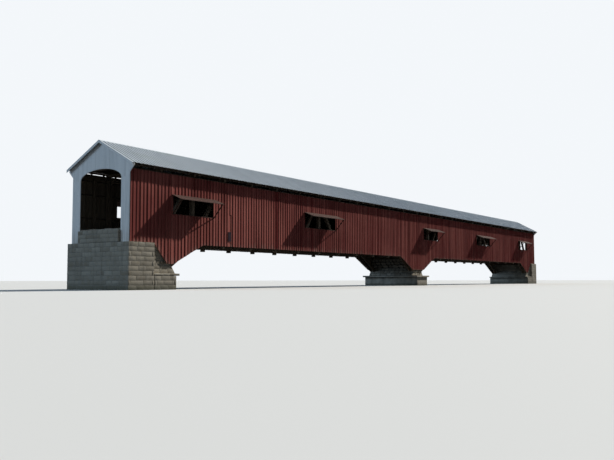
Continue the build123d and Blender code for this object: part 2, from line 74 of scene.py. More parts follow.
# Siding. A window is its middle and width, a tone its usual value and spread, the patch its x, foot, width
# and height. The loose values are those of one joint that stands open.
WALL_FACE = 0.270
BOARD_THICKNESS = 0.0025
BATTEN_THICKNESS = 0.003
BATTEN_WIDTH = 0.015
BATTEN_SET_IN = 0.0001
BOARDS_A_SIDE = 262
BOARD_GAP = 0.0006
WALL_TOP = 0.755
NAIL_HEIGHTS = (0.176, 0.317, 0.475, 0.633, 0.727)
WALL_FOOT = (
    (0, 0.167), (0.134, 0.167), (0.411, 0.3), (3.397, 0.3),
    (3.682, 0.167), (3.742, 0.167), (3.862, 0.3), (4.2, 0.3),
)
WINDOWS = ((-3.493, 0.400), (-1.910, 0.478), (0.330, 0.365), (1.935, 0.478), (3.520, 0.375))
# The boards' usual tone is low and the battens' high: painted shade on the boards between battens and
# painted sunlight on the batten faces, besides the paint's own spread.
BOARD_TONE_WITH_PAINTED_SHADE = (0.19, 0.16)
BATTEN_TONE_WITH_PAINTED_LIGHT = (0.52, 0.20)
PATCH_TONE = 2.0
PATCH_THICKNESS = 0.0022
PAINT_DRIFT = 0.09
LOOSE_JOINT = 31
LOOSE_GAP = 0.0045
LOOSE_HEAD = 0.53
PATCH = (-3.1195, 0.338, 0.0345, 0.068)
SILL_Z = 0.494
HEAD_Z = 0.618

# Hoods
HOOD_TOP = 0.627
HOOD_REACH = 0.093
HOOD_DROP = 0.039
HOOD_OVERLAP = 0.016
HOOD_PLANKS = 4
HOOD_STATIONS = 13
HOOD_LIMIT_Y = 0.363
HOOD_LIFTS = (0.0002, 0.0015)
HOOD_THICKNESS = 0.0016
CLEAT_PLACES = (-0.46, 0.0, 0.46)

# Roof
EAVE_Y = 0.3125
EAVE_Z = 0.786
ROOF_SLOPE = 0.544
RIBS = 249
RIB_PITCH = 2 * (ROOF_END - 0.0001) / RIBS
RIBS_A_SHEET = 3
RIB_HEIGHT = 0.0036
STIFFENER_HEIGHT = 0.0003

# One pitch of the sheet as (share of the pitch, share of the rib height, share of the stiffener height)
SHEET_PROFILE = (
    (0.0, 0, 0), (0.205, 0, 0), (0.23, 0, 1), (0.26, 0, 1), (0.285, 0, 0), (0.435, 0, 0), (0.46, 0, 1),
    (0.49, 0, 1), (0.515, 0, 0), (0.70, 0, 0), (0.775, 1, 0), (0.925, 1, 0),
)
LATHS_A_SIDE = 5
LATH_EAVE_INSET = 0.009
LATH_PITCH = 0.0583
SHEET_THICKNESS = 0.0005
SCREW_SHARE = 0.62
CAP_HALF_WIDTH = 0.0155
CAP_LENGTH = 0.305
LAP = 0.004

# Floor
DECK_PLANKS = 290
DECK_Z = 0.378
DECK_THICKNESS = 0.006
DECK_HALF = 0.205
JAMB_HALF = 0.1926
RUNNER_LINES = (-0.09, -0.06, 0.06, 0.09)
RUNNER_Z = DECK_Z + DECK_THICKNESS
RUNNER_THICKNESS = 0.003

# Masonry: heights and half widths, and the skewbacks, the sloping ends on which the arches press
SEAT_FOOT = 0.106
SEAT_TOP = 0.190
BEARING_Z = 0.285
SEAT_HALF = 0.2625
ABUTMENT_HALF = 0.292
BACK_WALL_X = 3.870
SKEWBACK_X, SKEWBACK_Z, SKEWBACK_LEAN = 0.0955, 0.165, 0.68132
STONE_DEPTH = 0.02
CORE_INSET = 0.0022
PIER_LIFTS = (0.03, 0.06)
PIER_EDGE = 0.0014

# Angles between faces that count as one flat, as an edge of timber and as an edge of stone
FLAT, TIMBER_SHARP, STONE_SHARP = [math.radians(angle) for angle in (0.4, 20, 38)]

# Timbers: shortest end piece and wander of a joint, as shares of a sawn length
SHORTEST_END = 0.3
JOINT_WANDER = 0.12

# Fixings: radius and height of the heads of nails and screws, and where the bolts are
NAIL_HEAD = (0.0009, 0.0005)
SCREW_HEAD = (0.0010, 0.0009)
ARCH_OUTER_Y = 0.2625
ARCH_INNER_Y = 0.2095
CHORD_BOLTS = (0.2235, 0.3215)
BOLT_OFFSET = 0.009

# Arches: the circle that their ribs follow, and the angles of the joints sawn across them
ARCH_CENTRE_Z = -2.47804
ARCH_RADIUS = 3.19804
ARCH_JOINTS = [k * 0.166 + 0.04 for k in range(-3, 4)]

# Joints between the boards of the portals, and the names of the sides by the sign of y
PORTAL_JOINTS = [-0.297 + 0.022 * i for i in range(28)]
SIDE_WORDS = {-1: "south", 1: "north"}


class Steps:
    """Adds nodes to a tree and joins them, so that a tree reads as a list of steps."""

    def __init__(self, tree):
        self.tree = tree

    def add(self, kind, feeds=None, **settings):
        node = self.tree.nodes.new(kind)
        for name, value in settings.items():
            setattr(node, name, value)
        for place, value in (feeds or {}).items():
            if isinstance(value, bpy.types.NodeSocket):
                self.tree.links.new(value, node.inputs[place])
            else:
                node.inputs[place].default_value = value
        return node

    def make(self, kind, feeds=None, **settings):
        """The first output of a new node."""
        return self.add(kind, feeds, **settings).outputs[0]

    def maths(self, operation, *values):
        return self.make("ShaderNodeMath", dict(enumerate(values)), operation=operation)

    times = partialmethod(maths, "MULTIPLY")
    over = partialmethod(maths, "DIVIDE")
    plus = partialmethod(maths, "ADD")
    minus = partialmethod(maths, "SUBTRACT")

    def vector(self, operation, *values):
        return self.make("ShaderNodeVectorMath", dict(enumerate(values)), operation=operation)

    def split(self, vector):
        return self.add("ShaderNodeSeparateXYZ", {0: vector}).outputs

    def combine(self, x=0.0, y=0.0, z=0.0):
        return self.make("ShaderNodeCombineXYZ", {0: x, 1: y, 2: z})

    def between(self, value, low, high, start=0.0, stop=1.0):
        """A smooth step of a value, from start at low to stop at high."""
        feeds = {0: value, 1: low, 2: high, 3: start, 4: stop}
        return self.make("ShaderNodeMapRange", feeds, interpolation_type="SMOOTHSTEP")


# Materials


class Finish(Steps):
    """A material under construction: a first colour, and coats laid over it."""

    def __init__(self, name, roughness=0.7, metallic=0.0, specular=0.4):
        self.material = bpy.data.materials.new(name)
        self.material.use_nodes = True
        super().__init__(self.material.node_tree)
        self.inputs = self.tree.nodes["Principled BSDF"].inputs
        self.inputs["Roughness"].default_value = roughness
        self.inputs["Metallic"].default_value = metallic
        self.inputs["Specular IOR Level"].default_value = specular
        self.place = self.add("ShaderNodeTexCoord").outputs["Object"]

    def own(self, name, output="Fac"):
        """A value that the piece's own mesh carries."""
        return self.add("ShaderNodeAttribute", attribute_name=name).outputs[output]

    def noise(self, place, stretch, detail=3.0):
        if isinstance(stretch, (int, float)):
            stretch = (stretch, stretch, stretch)
        scaled = self.vector("MULTIPLY", place, stretch)
        feeds = {"Vector": scaled, "Scale": 1.0, "Detail": detail, "Roughness": 0.55}
        return self.make("ShaderNodeTexNoise", feeds)

    def cloud(self, place, stretch, detail, low, high, most=1.0):
        """Patches of noise, from nothing below low to the most above high."""
        return self.between(self.noise(place, stretch, detail), low, high, 0.0, most)

    def mix(self, share, under, over, blend="MIX"):
        under, over = [(*c, 1.0) if isinstance(c, tuple) else c for c in (under, over)]
        feeds = {0: share, 6: under, 7: over}
        return self.add("ShaderNodeMix", feeds, data_type="RGBA", blend_type=blend).outputs[2]

    def coat(self, share, over, blend="MIX"):
        self.colour = self.mix(share, self.colour, over, blend)

    def done(self, height=None, depth=0.0005, strength=0.6, roughness=None):
        self.tree.links.new(self.colour, self.inputs["Base Color"])
        if height is not None:
            bump = self.make("ShaderNodeBump", {"Strength": strength, "Distance": depth, "Height": height})
            self.tree.links.new(bump, self.inputs["Normal"])
        if roughness is not None:
            self.tree.links.new(roughness, self.inputs["Roughness"])
        return self.material


def timber_finish(name, old, fresh, stain, cracks=0.5, dust=None, specular=0.25):
    """Sawn timber: fibres and checks along the grain, stains, and a tone for each stick."""
    f = Finish(name, roughness=0.8, specular=specular)
    grain, tone = f.own("grain", "Vector"), f.own("tone")
    fibres = f.noise(grain, (16, 560, 560), 4)
    split = f.cloud(grain, (5, 210, 210), 2, 0.63, 0.70)
    f.colour = f.mix(f.cloud(grain, (2.6, 85, 85), 3, 0.3, 0.7), old, fresh)
    f.coat(f.times(f.between(fibres, 0.45, 0.75), 0.45), stain)
    f.coat(1.0, f.combine(*[f.between(tone, 0, 1, 0.68, 1.22)] * 3), "MULTIPLY")
    f.coat(f.times(f.cloud(f.place, 7, 4, 0.52, 0.72), 0.45), stain)
    f.coat(f.times(split, cracks), tuple(c * 0.35 for c in stain))
    if dust:
        f.coat(f.times(f.cloud(f.place, (2.2, 9, 9), 4, 0.42, 0.66), 0.55), dust)
    height = f.minus(f.times(fibres, 0.7), f.times(split, 0.8))
    return f.done(height, roughness=f.between(fibres, 0.3, 0.7, 0.68, 0.92))


def red_paint():
    """Barn paint on rough boards: faded in patches, thin along the grain and worn off near the feet. Its
    tone runs from deep red, painted shade on boards between battens, to pale red, painted sunlight on batten
    faces.
    """
    f = Finish("red_barn_paint", roughness=0.85, specular=0.05)
    grain, tone, rise = f.own("grain", "Vector"), f.own("tone"), f.own("rise")
    fibres = f.noise(grain, (14, 520, 520), 4)
    streaks = f.noise(grain, (1.6, 60, 60), 3)
    # Low tones give deep red, painted shade on the boards between battens; high tones pale red, painted
    # sunlight on the batten faces.
    f.colour = f.mix(tone, (0.15, 0.012, 0.013), (0.56, 0.185, 0.155))
    f.coat(f.cloud(f.place, (1.3, 1.3, 2.6), 3, 0.35, 0.68, 0.5), (0.185, 0.030, 0.030))
    f.coat(f.cloud(f.place, (11, 11, 0.9), 3, 0.50, 0.72, 0.6), (0.095, 0.012, 0.012))
    f.coat(f.between(streaks, 0.52, 0.78, 0.0, 0.5), (0.40, 0.15, 0.115))
    f.coat(f.between(fibres, 0.5, 0.8, 0.0, 0.5), (0.095, 0.014, 0.013))
    foot = f.between(f.over(rise, f.between(tone, 0.3, 1.0, 0.012, 0.06)), 0.15, 1.0, 1.0, 0.0)
    foot = f.times(foot, f.between(f.split(f.place)[2], 0.42, 0.46, 1.0, 0.0))
    thin = f.times(foot, f.between(f.plus(streaks, f.times(fibres, 0.4)), 0.6, 0.78))
    f.coat(f.times(thin, 0.5), (0.40, 0.25, 0.215))
    bare = f.cloud(grain, (9, 190, 190), 4, 0.66, 0.73)
    f.coat(f.times(bare, 0.5), (0.21, 0.125, 0.10))
    f.coat(f.cloud(f.place, (42, 42, 1.2), 2, 0.5, 0.8, 0.45), (0.075, 0.012, 0.012))
    f.coat(f.between(tone, 1.3, 1.8), (0.045, 0.028, 0.038))
    f.coat(f.own("inward"), f.mix(f.between(streaks, 0.3, 0.7), (0.15, 0.115, 0.08), (0.27, 0.215, 0.16)))
    height = f.plus(f.times(fibres, 0.7), f.times(bare, -0.5))
    return f.done(height, depth=0.0004, roughness=f.between(f.noise(f.place, 30), 0.3, 0.7, 0.68, 0.9))


def white_paint():
    """Off-white paint on planed boards, with grime that has run down the grain."""
    f = Finish("white_portal_paint", roughness=0.55, specular=0.4)
    grain = f.own("grain", "Vector")
    grime = f.noise(grain, (3.5, 75, 75), 4)
    f.colour = f.mix(f.own("tone"), (0.80, 0.82, 0.82), (0.845, 0.86, 0.855))
    f.coat(f.between(grime, 0.5, 0.78, 0.0, 0.4), (0.52, 0.52, 0.49))
    splash = f.between(f.split(f.place)[2], 0.30, 0.42, 0.6, 0.0)
    f.coat(f.times(splash, f.between(grime, 0.35, 0.6)), (0.42, 0.39, 0.33))
    peeled = f.cloud(grain, (16, 150, 150), 5, 0.68, 0.72)
    f.coat(f.times(peeled, 0.7), (0.36, 0.33, 0.29))
    height = f.minus(f.times(f.noise(grain, (10, 480, 480), 3), 0.4), f.times(peeled, 0.6))
    return f.done(height, depth=0.0003, roughness=f.between(grime, 0.3, 0.7, 0.45, 0.7))


def roof_finish():
    """Galvanised ribbed sheet: bright rib tops, painted shade on the rib sides, dirt in pans, streaks and a
    little rust.
    """
    f = Finish("galvanised_roof_sheet", roughness=0.75, specular=0.12)
    rib, run = f.own("rib"), f.own("rise")
    f.colour = f.mix(f.between(f.own("tone"), 0, 1), (0.56, 0.62, 0.68), (0.61, 0.67, 0.73))
    streaks = f.noise(f.combine(f.split(f.place)[0], 0.0, f.times(run, 0.03)), 130, 4)
    dirt = f.times(f.between(f.minus(1.0, rib), 0.1, 0.9), f.between(streaks, 0.3, 0.7, 0.0, 0.32))
    f.coat(dirt, (0.24, 0.27, 0.29))
    # Bluish dark on both sides of each rib is painted shade.
    painted_shade_on_flanks = f.times(f.between(rib, 0.0, 0.12), f.between(rib, 0.88, 1.0, 1.0, 0.0))
    f.coat(f.times(painted_shade_on_flanks, 0.5), (0.24, 0.275, 0.315))
    f.coat(f.cloud(f.place, (6, 14, 14), 5, 0.45, 0.75, 0.35), (0.50, 0.56, 0.63))
    f.coat(f.times(f.cloud(f.place, (1.4, 8, 8), 4, 0.58, 0.74), 0.22), (0.25, 0.33, 0.26))
    f.coat(f.times(f.cloud(f.place, (24, 10, 10), 5, 0.66, 0.76), 0.5), (0.23, 0.12, 0.07))
    rough = f.between(streaks, 0.2, 0.8, 0.58, 0.8)
    return f.done(f.noise(f.place, 260, 2), depth=0.0001, strength=0.4, roughness=rough)


def stone_finish():
    """Squared limestone blocks, each with its own tone, tooled faces, stains and damp near the foot."""
    f = Finish("limestone_blocks", roughness=0.9, specular=0.2)
    coarse = f.noise(f.place, 34, 6)
    fine = f.noise(f.place, 420, 4)
    f.colour = f.mix(f.own("tone"), (0.27, 0.235, 0.18), (0.47, 0.43, 0.35))
    f.coat(f.between(coarse, 0.35, 0.7, 0.0, 0.6), (0.36, 0.34, 0.30))
    f.coat(f.between(fine, 0.5, 0.8, 0.0, 0.5), (0.17, 0.15, 0.12))
    f.coat(f.cloud(f.place, (40, 40, 4), 4, 0.52, 0.74, 0.55), (0.13, 0.12, 0.10))
    f.coat(f.between(f.split(f.place)[2], 0.008, 0.055, 0.65, 0.0), (0.11, 0.115, 0.08))
    return f.done(f.plus(coarse, f.times(fine, 0.4)), depth=0.0012, strength=0.7)


def concrete_finish():
    """Board-marked concrete, with lift lines, run stains and a dark, damp foot."""
    f = Finish("pier_concrete_face", roughness=0.88, specular=0.2)
    grain = f.noise(f.place, 300, 5)
    clouds = f.noise(f.place, 16, 5)
    z = f.split(f.place)[2]
    mark = f.maths("FRACT", f.times(z, 66.0))
    ridge = f.times(f.between(mark, 0.0, 0.09, 1.0, 0.0), f.between(clouds, 0.35, 0.55))
    f.colour = f.mix(f.between(clouds, 0.3, 0.7), (0.34, 0.30, 0.24), (0.50, 0.46, 0.385))
    f.coat(f.between(grain, 0.5, 0.85, 0.0, 0.5), (0.22, 0.20, 0.17))
    f.coat(f.cloud(f.place, (36, 36, 3), 4, 0.5, 0.75, 0.6), (0.18, 0.165, 0.14))
    f.coat(f.between(f.plus(z, f.times(clouds, 0.02)), 0.022, 0.042, 0.75, 0.0), (0.10, 0.10, 0.075))
    f.coat(f.times(ridge, 0.5), (0.2, 0.18, 0.15))
    return f.done(f.minus(f.times(grain, 0.6), ridge), depth=0.0008)


def joint_finish(name, dark, light):
    """What shows between the stones: sandy mortar, or, in joints laid dry, a near-black core that is painted
    shade.
    """
    f = Finish(name, roughness=0.95, specular=0.1)
    sand = f.noise(f.place, 600, 3)
    f.colour = f.mix(f.cloud(f.place, 22, 4, 0.3, 0.7), dark, light)
    f.coat(f.between(sand, 0.5, 0.8, 0.0, 0.5), tuple(c * 0.6 for c in dark))
    return f.done(sand, depth=0.0004)


def iron_finish(name, clean, rusty, share):
    """Iron fixings, with rust over a share of them."""
    f = Finish(name, roughness=0.7, metallic=0.5)
    rust = f.noise(f.place, 900, 4)
    f.colour = f.mix(f.between(rust, 0.5 - share / 2, 0.8 - share / 2), clean, rusty)
    return f.done(rust, depth=0.0002, roughness=f.between(rust, 0.3, 0.7, 0.5, 0.85))


# Sawn timbers: the name of the finish, then its old, fresh and stained colours
finishes = {
    # The truss timber is old dark wood, made darker still as painted shade inside the bridge.
    "truss_timber": timber_finish(
        "aged_truss_timber", (0.095, 0.070, 0.049), (0.19, 0.15, 0.11), (0.055, 0.042, 0.031)),
    "arch_timber": timber_finish(
        "arch_leaf_timber", (0.092, 0.064, 0.041), (0.18, 0.135, 0.092), (0.053, 0.039, 0.027)),
    "floor_timber": timber_finish(
        "floor_beam_timber", (0.13, 0.105, 0.08), (0.25, 0.21, 0.165), (0.07, 0.06, 0.05)),
    "deck_planks": timber_finish(
        "worn_deck_planks", (0.20, 0.17, 0.135), (0.36, 0.32, 0.265), (0.12, 0.10, 0.08),
        dust=(0.40, 0.365, 0.31)),
    # The roof frame's colours are darkened as painted shade under the roof.
    "roof_timber": timber_finish(
        "roof_frame_timber", (0.055, 0.043, 0.032), (0.11, 0.087, 0.063), (0.03, 0.024, 0.019)),
    "weathered_boards": timber_finish(
        "weathered_hood_boards", (0.054, 0.030, 0.025), (0.132, 0.076, 0.063), (0.028, 0.016, 0.013),
        cracks=0.9, specular=0.08),
    "red_boards": red_paint(),
    "white_boards": white_paint(),
    "roof_metal": roof_finish(),
    "stonework": stone_finish(),
    "pier_concrete": concrete_finish(),
}
mortar = joint_finish("lime_mortar", (0.23, 0.21, 0.175), (0.34, 0.32, 0.28))
# The dry joints' near-black core is painted shade in the gaps between the pedestal's stones.
dry_joint = joint_finish("dark_in_dry_joints", (0.045, 0.040, 0.032), (0.085, 0.076, 0.062))
bolt_iron = iron_finish("rusted_bolt_iron", (0.07, 0.06, 0.055), (0.20, 0.10, 0.06), 0.3)
screw_zinc = iron_finish("zinc_roof_screws", (0.42, 0.45, 0.48), (0.26, 0.15, 0.10), 0.0)
slot_of = {part["node"]: part["material_slot"] for part in frame["record"]["subparts"]}


# Pieces


def put(name, data):
    """A new object in the scene."""
    thing = bpy.data.objects.new(name, data)
    bpy.context.scene.collection.objects.link(thing)
    return thing


def evaluated(thing):
    """An object's mesh, as its modifiers leave it."""
    graph = bpy.context.evaluated_depsgraph_get()
    return bpy.data.meshes.new_from_object(thing.evaluated_get(graph))


def new_piece(name, mesh, slot=None, stands_for=()):
    """Puts a finished mesh in the scene, riding on the bridge."""
    piece = put(name, mesh)
    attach(piece, "root")
    if stands_for:
        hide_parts(*stands_for)
    return piece


def joined(name, meshes):
    """One mesh made of several, keeping their materials and the values they carry."""
    objects = [put(name, mesh) for mesh in meshes]
    with bpy.context.temp_override(active_object=objects[0], selected_editable_objects=objects):
        bpy.ops.object.join()
    mesh = objects[0].data
    bpy.data.objects.remove(objects[0])
    mesh.name = name
    return mesh


def loose_parts(bm):
    """The separate solids of a mesh, each as a list of its faces."""
    seen = set()
    for start in bm.faces:
        if start in seen:
            continue
        seen.add(start)
        part = [start]
        for face in part:
            for edge in face.edges:
                for other in edge.link_faces:
                    if other not in seen:
                        seen.add(other)
                        part.append(other)
        yield part


def corners_of(faces):
    return list({v: None for face in faces for v in face.verts})


def chance_for(point):
    """Chance numbers that depend only on a place."""
    return random.Random("%.3f %.3f %.3f" % tuple(point))


def start_of_grain(chance):
    """A place at random in the noise, so that no two timbers look the same."""
    return [chance.uniform(0, 9) for _ in range(3)]


def saw(bm, faces, point, across):
    """Cuts one solid in two at a plane and closes both cut ends."""
    edges = list({e: None for face in faces for e in face.edges})
    geometry = [*corners_of(faces), *edges, *faces]
    cut = bmesh.ops.bisect_plane(bm, geom=geometry, dist=1e-7, plane_co=point, plane_no=across)
    ring = [e for e in cut["geom_cut"] if isinstance(e, bmesh.types.BMEdge)]
    if ring:
        split = bmesh.ops.split_edges(bm, edges=ring)
        open_edges = [e for e in split["edges"] if len(e.link_faces) == 1]
        bmesh.ops.holes_fill(bm, edges=open_edges)


def saw_to_length(bm, length):
    """Cuts long timbers into lengths that a sawmill could supply, with the joints staggered."""
    across = Vector((1, 0, 0))
    for faces in list(loose_parts(bm)):
        corners = corners_of(faces)
        low, high = min(v.co.x for v in corners), max(v.co.x for v in corners)
        count = round((high - low) / length)
        if count < 2:
            continue
        middle = sum((v.co for v in corners), Vector()) / len(corners)
        chance = chance_for(middle)
        shift = chance.uniform(-0.5, 0.5) * length
        for k in range(1, count + 1):
            place = low + k * length + shift + chance.uniform(-JOINT_WANDER, JOINT_WANDER) * length
            if place > high - SHORTEST_END * length:
                break
            if place < low + SHORTEST_END * length:
                continue
            for part in [f for f in loose_parts(bm) if holds(f, middle, place)]:
                saw(bm, part, middle + across * (place - middle.x), across)


def holds(faces, middle, place):
    """True if a solid lies round the line along the bridge through the middle, and spans a place on it."""
    points = [v.co for v in corners_of(faces)]
    low, high = [[pick(p[i] for p in points) for i in range(3)] for pick in (min, max)]
    inside = all(low[i] - 1e-6 <= middle[i] <= high[i] + 1e-6 for i in (1, 2))
    return inside and low[0] < place < high[0]


def long_way(points):
    """The direction in which a stick of timber is longest."""
    spread = points - points.mean(axis=0)
    way = np.linalg.eigh(spread.T @ spread)[1][:, 2]
    nearest = int(np.argmax(np.abs(way)))
    if abs(way[nearest]) > 0.985:
        way = np.eye(3)[nearest]
    return way if way[nearest] > 0 else -way


def timber_layers(bm):
    """Room on a mesh's corners for grain, tone and rise."""
    floats = bm.verts.layers.float
    return bm.verts.layers.float_vector.new("grain"), floats.new("tone"), floats.new("rise")


def carry_grain(bm, grain_way, arched, tones):
    """Gives each solid a tone and each corner its place along and across the grain."""
    grain, tone, rise = timber_layers(bm)
    for faces in loose_parts(bm):
        verts = corners_of(faces)
        points = np.array([v.co for v in verts])
        middle = points.mean(axis=0)
        chance = chance_for(middle)
        along = np.array(grain_way, float) if grain_way else long_way(points)
        side = np.cross(along, (0, 0, 1)) if abs(along[2]) < 0.9 else np.cross(along, (1, 0, 0))
        side /= np.linalg.norm(side)
        up = np.cross(side, along)
        start = np.array(start_of_grain(chance))
        shade = chance.uniform(*tones)
        foot = points[:, 2].min()
        for v, p in zip(verts, points):
            if arched:
                x, z = p[0] - math.copysign(SPAN / 2, p[0]), p[2] - ARCH_CENTRE_Z
                place = np.array((math.atan2(x, z) * ARCH_RADIUS, p[1], math.hypot(x, z)))
            else:
                place = np.array((p @ along, p @ side, p @ up))
            v[grain] = Vector(place + start)
            v[tone] = shade
            v[rise] = p[2] - foot


def solid_copy(node):
    """A merged copy of a CAD node's mesh, ready for joiner's work."""
    bm = bmesh.new()
    bm.from_mesh(frame["nodes"][node].data)
    bmesh.ops.remove_doubles(bm, verts=bm.verts, dist=1e-5)
    bmesh.ops.dissolve_limit(bm, angle_limit=FLAT, verts=bm.verts, edges=bm.edges)
    return bm


def ease_edges(bm, edge):
    """Rubs the sharp edges of the timbers down to a small flat."""
    bmesh.ops.recalc_face_normals(bm, faces=bm.faces)
    sharp = [e for e in bm.edges if len(e.link_faces) == 2 and e.calc_face_angle() > TIMBER_SHARP]
    bmesh.ops.bevel(bm, geom=sharp, offset=edge, offset_type="OFFSET", segments=1, profile=0.5,
                    affect="EDGES", clamp_overlap=True)


def to_mesh(bm, name, material):
    mesh = bpy.data.meshes.new(name)
    bm.to_mesh(mesh)
    bm.free()
    mesh.materials.clear()
    mesh.materials.append(material)
    return mesh


def dressed(node, edge=0.0005, length=None, cuts=(), grain_way=None, arched=False, tones=(0.0, 1.0)):
    """A CAD node's timbers as a joiner leaves them: cut to length, edges eased, each with its own tone."""
    bm = solid_copy(node)
    if length:
        saw_to_length(bm, length)
    for point, across in cuts:
        for faces in list(loose_parts(bm)):
            saw(bm, faces, point, across)
    ease_edges(bm, edge)
    carry_grain(bm, grain_way, arched, tones)
    mesh = to_mesh(bm, node + ".dressed", finishes[slot_of[node]])
    return new_piece(node + ".dressed", mesh, slot_of[node], (node,))


# Geometry Nodes


def grow(name, tree, sizes, points, **carried):
    """Runs a tree on points, each with the values it carries, and takes the result as a plain mesh."""
    seeds = bpy.data.meshes.new(name + "_seeds")
    seeds.from_pydata([tuple(p) for p in points], [], [])
    for key, values in carried.items():
        kind, field = ("FLOAT_VECTOR", "vector") if np.ndim(values) == 2 else ("FLOAT", "value")
        layer = seeds.attributes.new(key, kind, "POINT")
        layer.data.foreach_set(field, np.array(values, np.float32).ravel())
    thing = put(name, seeds)
    modifier = thing.modifiers.new(name, "NODES")
    modifier.node_group = tree
    for item in tree.interface.items_tree:
        if item.item_type == "SOCKET" and item.in_out == "INPUT" and item.name in sizes:
            modifier[item.identifier] = sizes[item.name]
    mesh = evaluated(thing)
    thing.modifiers.remove(modifier)
    bpy.data.objects.remove(thing)
    mesh.name = name
    mesh.materials.clear()
    mesh.materials.append(sizes["Finish"])
    mesh.polygons.foreach_set("material_index", [0] * len(mesh.polygons))
    return mesh


class Tree(Steps):
    """A Geometry Nodes tree with named sizes, which grows something on seed points."""

    def __init__(self, name, sizes):
        super().__init__(bpy.data.node_groups.new(name, "GeometryNodeTree"))
        self.socket("Geometry", "Geometry")
        for size, value in sizes.items():
            self.socket(size, {int: "Int", float: "Float"}[type(value)]).default_value = value
        self.socket("Finish", "Material")
        self.socket("Geometry", "Geometry", "OUTPUT")
        self.start = self.add("NodeGroupInput").outputs

    def socket(self, name, kind, way="INPUT"):
        return self.tree.interface.new_socket(name, in_out=way, socket_type="NodeSocket" + kind)

    def geo(self, kind, feeds=None, **settings):
        return self.make("GeometryNode" + kind, feeds, **settings)

    def carried(self, name, kind="FLOAT_VECTOR"):
        return self.geo("InputNamedAttribute", {"Name": name}, data_type=kind)

    def store(self, geometry, name, value, kind="FLOAT"):
        feeds = {"Geometry": geometry, "Name": name, "Value": value}
        return self.geo("StoreNamedAttribute", feeds, data_type=kind, domain="POINT")

    def keep_local(self, unit):
        """The unit shape, with each corner carrying its own place in it."""
        return self.store(unit, "local", self.geo("InputPosition"), "FLOAT_VECTOR")

    def together(self, *parts):
        both = self.add("GeometryNodeJoinGeometry")
        for part in parts:
            self.tree.links.new(part, both.inputs[0])
        return both.outputs[0]

    def on_points(self, unit, **feeds):
        return self.geo("InstanceOnPoints", {"Points": self.start["Geometry"], "Instance": unit, **feeds})

    def chance(self, low, high, salt=0.0):
        feeds = {2: low, 3: high, 8: self.plus(self.start["Seed"], salt)}
        return self.add("FunctionNodeRandomValue", feeds, data_type="FLOAT").outputs[1]

    def done(self, geometry):
        real = self.geo("RealizeInstances", {0: geometry})
        coated = self.geo("SetMaterial", {"Geometry": real, "Material": self.start["Finish"]})
        self.add("NodeGroupOutput", {0: coated})
        return self.tree


def plank_tree():
    """Planks on points, which carry size (width, thickness, length), turn, tone and slant of the foot."""
    t = Tree("planks_on_points", {
        "Unit Width": 0.03, "Unit Thickness": 0.003, "Chamfer": 0.0004, "Lean": 0.002, "Seed": 7,
    })
    width, thickness = t.start["Unit Width"], t.start["Unit Thickness"]
    outline = t.geo("CurvePrimitiveQuadrilateral", {"Width": width, "Height": thickness})
    outline = t.geo("FilletCurve", {"Curve": outline, "Count": 1, "Radius": t.start["Chamfer"]}, mode="POLY")
    end = t.geo("FillCurve", {"Curve": outline}, mode="NGONS")
    pull = {"Mesh": end, "Offset": (0, 0, 1), "Offset Scale": 1.0, "Individual": False}
    both = t.together(t.geo("FlipFaces", {"Mesh": end}), t.geo("ExtrudeMesh", pull))
    unit = t.keep_local(t.geo("MergeByDistance", {"Geometry": both, "Distance": 1e-6}))
    size = t.split(t.carried("size"))
    ratio = t.over(size[0], width)
    scale = t.combine(ratio, t.over(size[1], thickness), size[2])
    lean = t.combine(0.0, t.times(t.chance(-1.0, 1.0, 3.0), t.start["Lean"]))
    turn = t.vector("ADD", t.carried("turn"), lean)
    real = t.geo("RealizeInstances", {0: t.on_points(unit, Rotation=turn, Scale=scale)})
    local = t.split(t.carried("local"))
    along, sideways = t.times(local[2], size[2]), t.times(local[0], ratio)
    foot_share = t.times(t.minus(1.0, local[2]), t.carried("foot_slant", "FLOAT"))
    slant = t.combine(0.0, 0.0, t.times(sideways, foot_share))
    shaped = t.geo("SetPosition", {"Geometry": real, "Offset": slant})
    tone = t.carried("tone", "FLOAT")
    grain_start = t.vector("MULTIPLY", t.combine(tone, t.times(tone, 7.3), 1.0), (9, 9, 9))
    grain = t.vector("ADD", t.combine(along, sideways, local[1]), grain_start)
    shaped = t.store(shaped, "grain", grain, "FLOAT_VECTOR")
    shaped = t.store(shaped, "rise", along)
    return t.done(t.store(shaped, "inward", t.maths("GREATER_THAN", local[1], 0.0)))


def stone_tree():
    """Squared blocks on points, with edges knocked off and faces that bulge and vary."""
    t = Tree("blocks_on_points", {"Edge": 0.0011, "Bulge": 0.0007, "Roughness": 0.0016, "Seed": 3})
    unit = t.geo("MeshCube", {"Size": (1, 1, 1), "Vertices X": 4, "Vertices Y": 4, "Vertices Z": 4})
    real = t.geo("RealizeInstances", {0: t.on_points(t.keep_local(unit), Scale=t.carried("size"))})
    out = [t.maths("ROUND", t.times(part, 1.4)) for part in t.split(t.carried("local"))]
    far = [t.maths("ABSOLUTE", part) for part in out]
    on_edge = t.maths("GREATER_THAN", t.plus(t.plus(far[0], far[1]), far[2]), 1.5)
    pull = t.times(on_edge, t.times(t.start["Edge"], -1.0))
    amount = t.plus(pull, t.times(t.minus(1.0, on_edge), t.start["Bulge"]))
    move = t.vector("MULTIPLY", t.combine(*out), t.combine(amount, amount, amount))
    place = t.geo("InputPosition")
    wander = t.add("ShaderNodeTexNoise", {"Vector": place, "Scale": 75.0, "Detail": 1.0}).outputs[1]
    wander = t.vector("SUBTRACT", wander, (0.5, 0.5, 0.5))
    wander = t.vector("MULTIPLY", wander, t.combine(*[t.start["Roughness"]] * 3))
    moved = t.split(t.vector("ADD", place, t.vector("ADD", move, wander)))
    on_floor = t.combine(moved[0], moved[1], t.maths("MAXIMUM", moved[2], 0.0))
    return t.done(t.geo("SetPosition", {"Geometry": real, "Position": on_floor}))


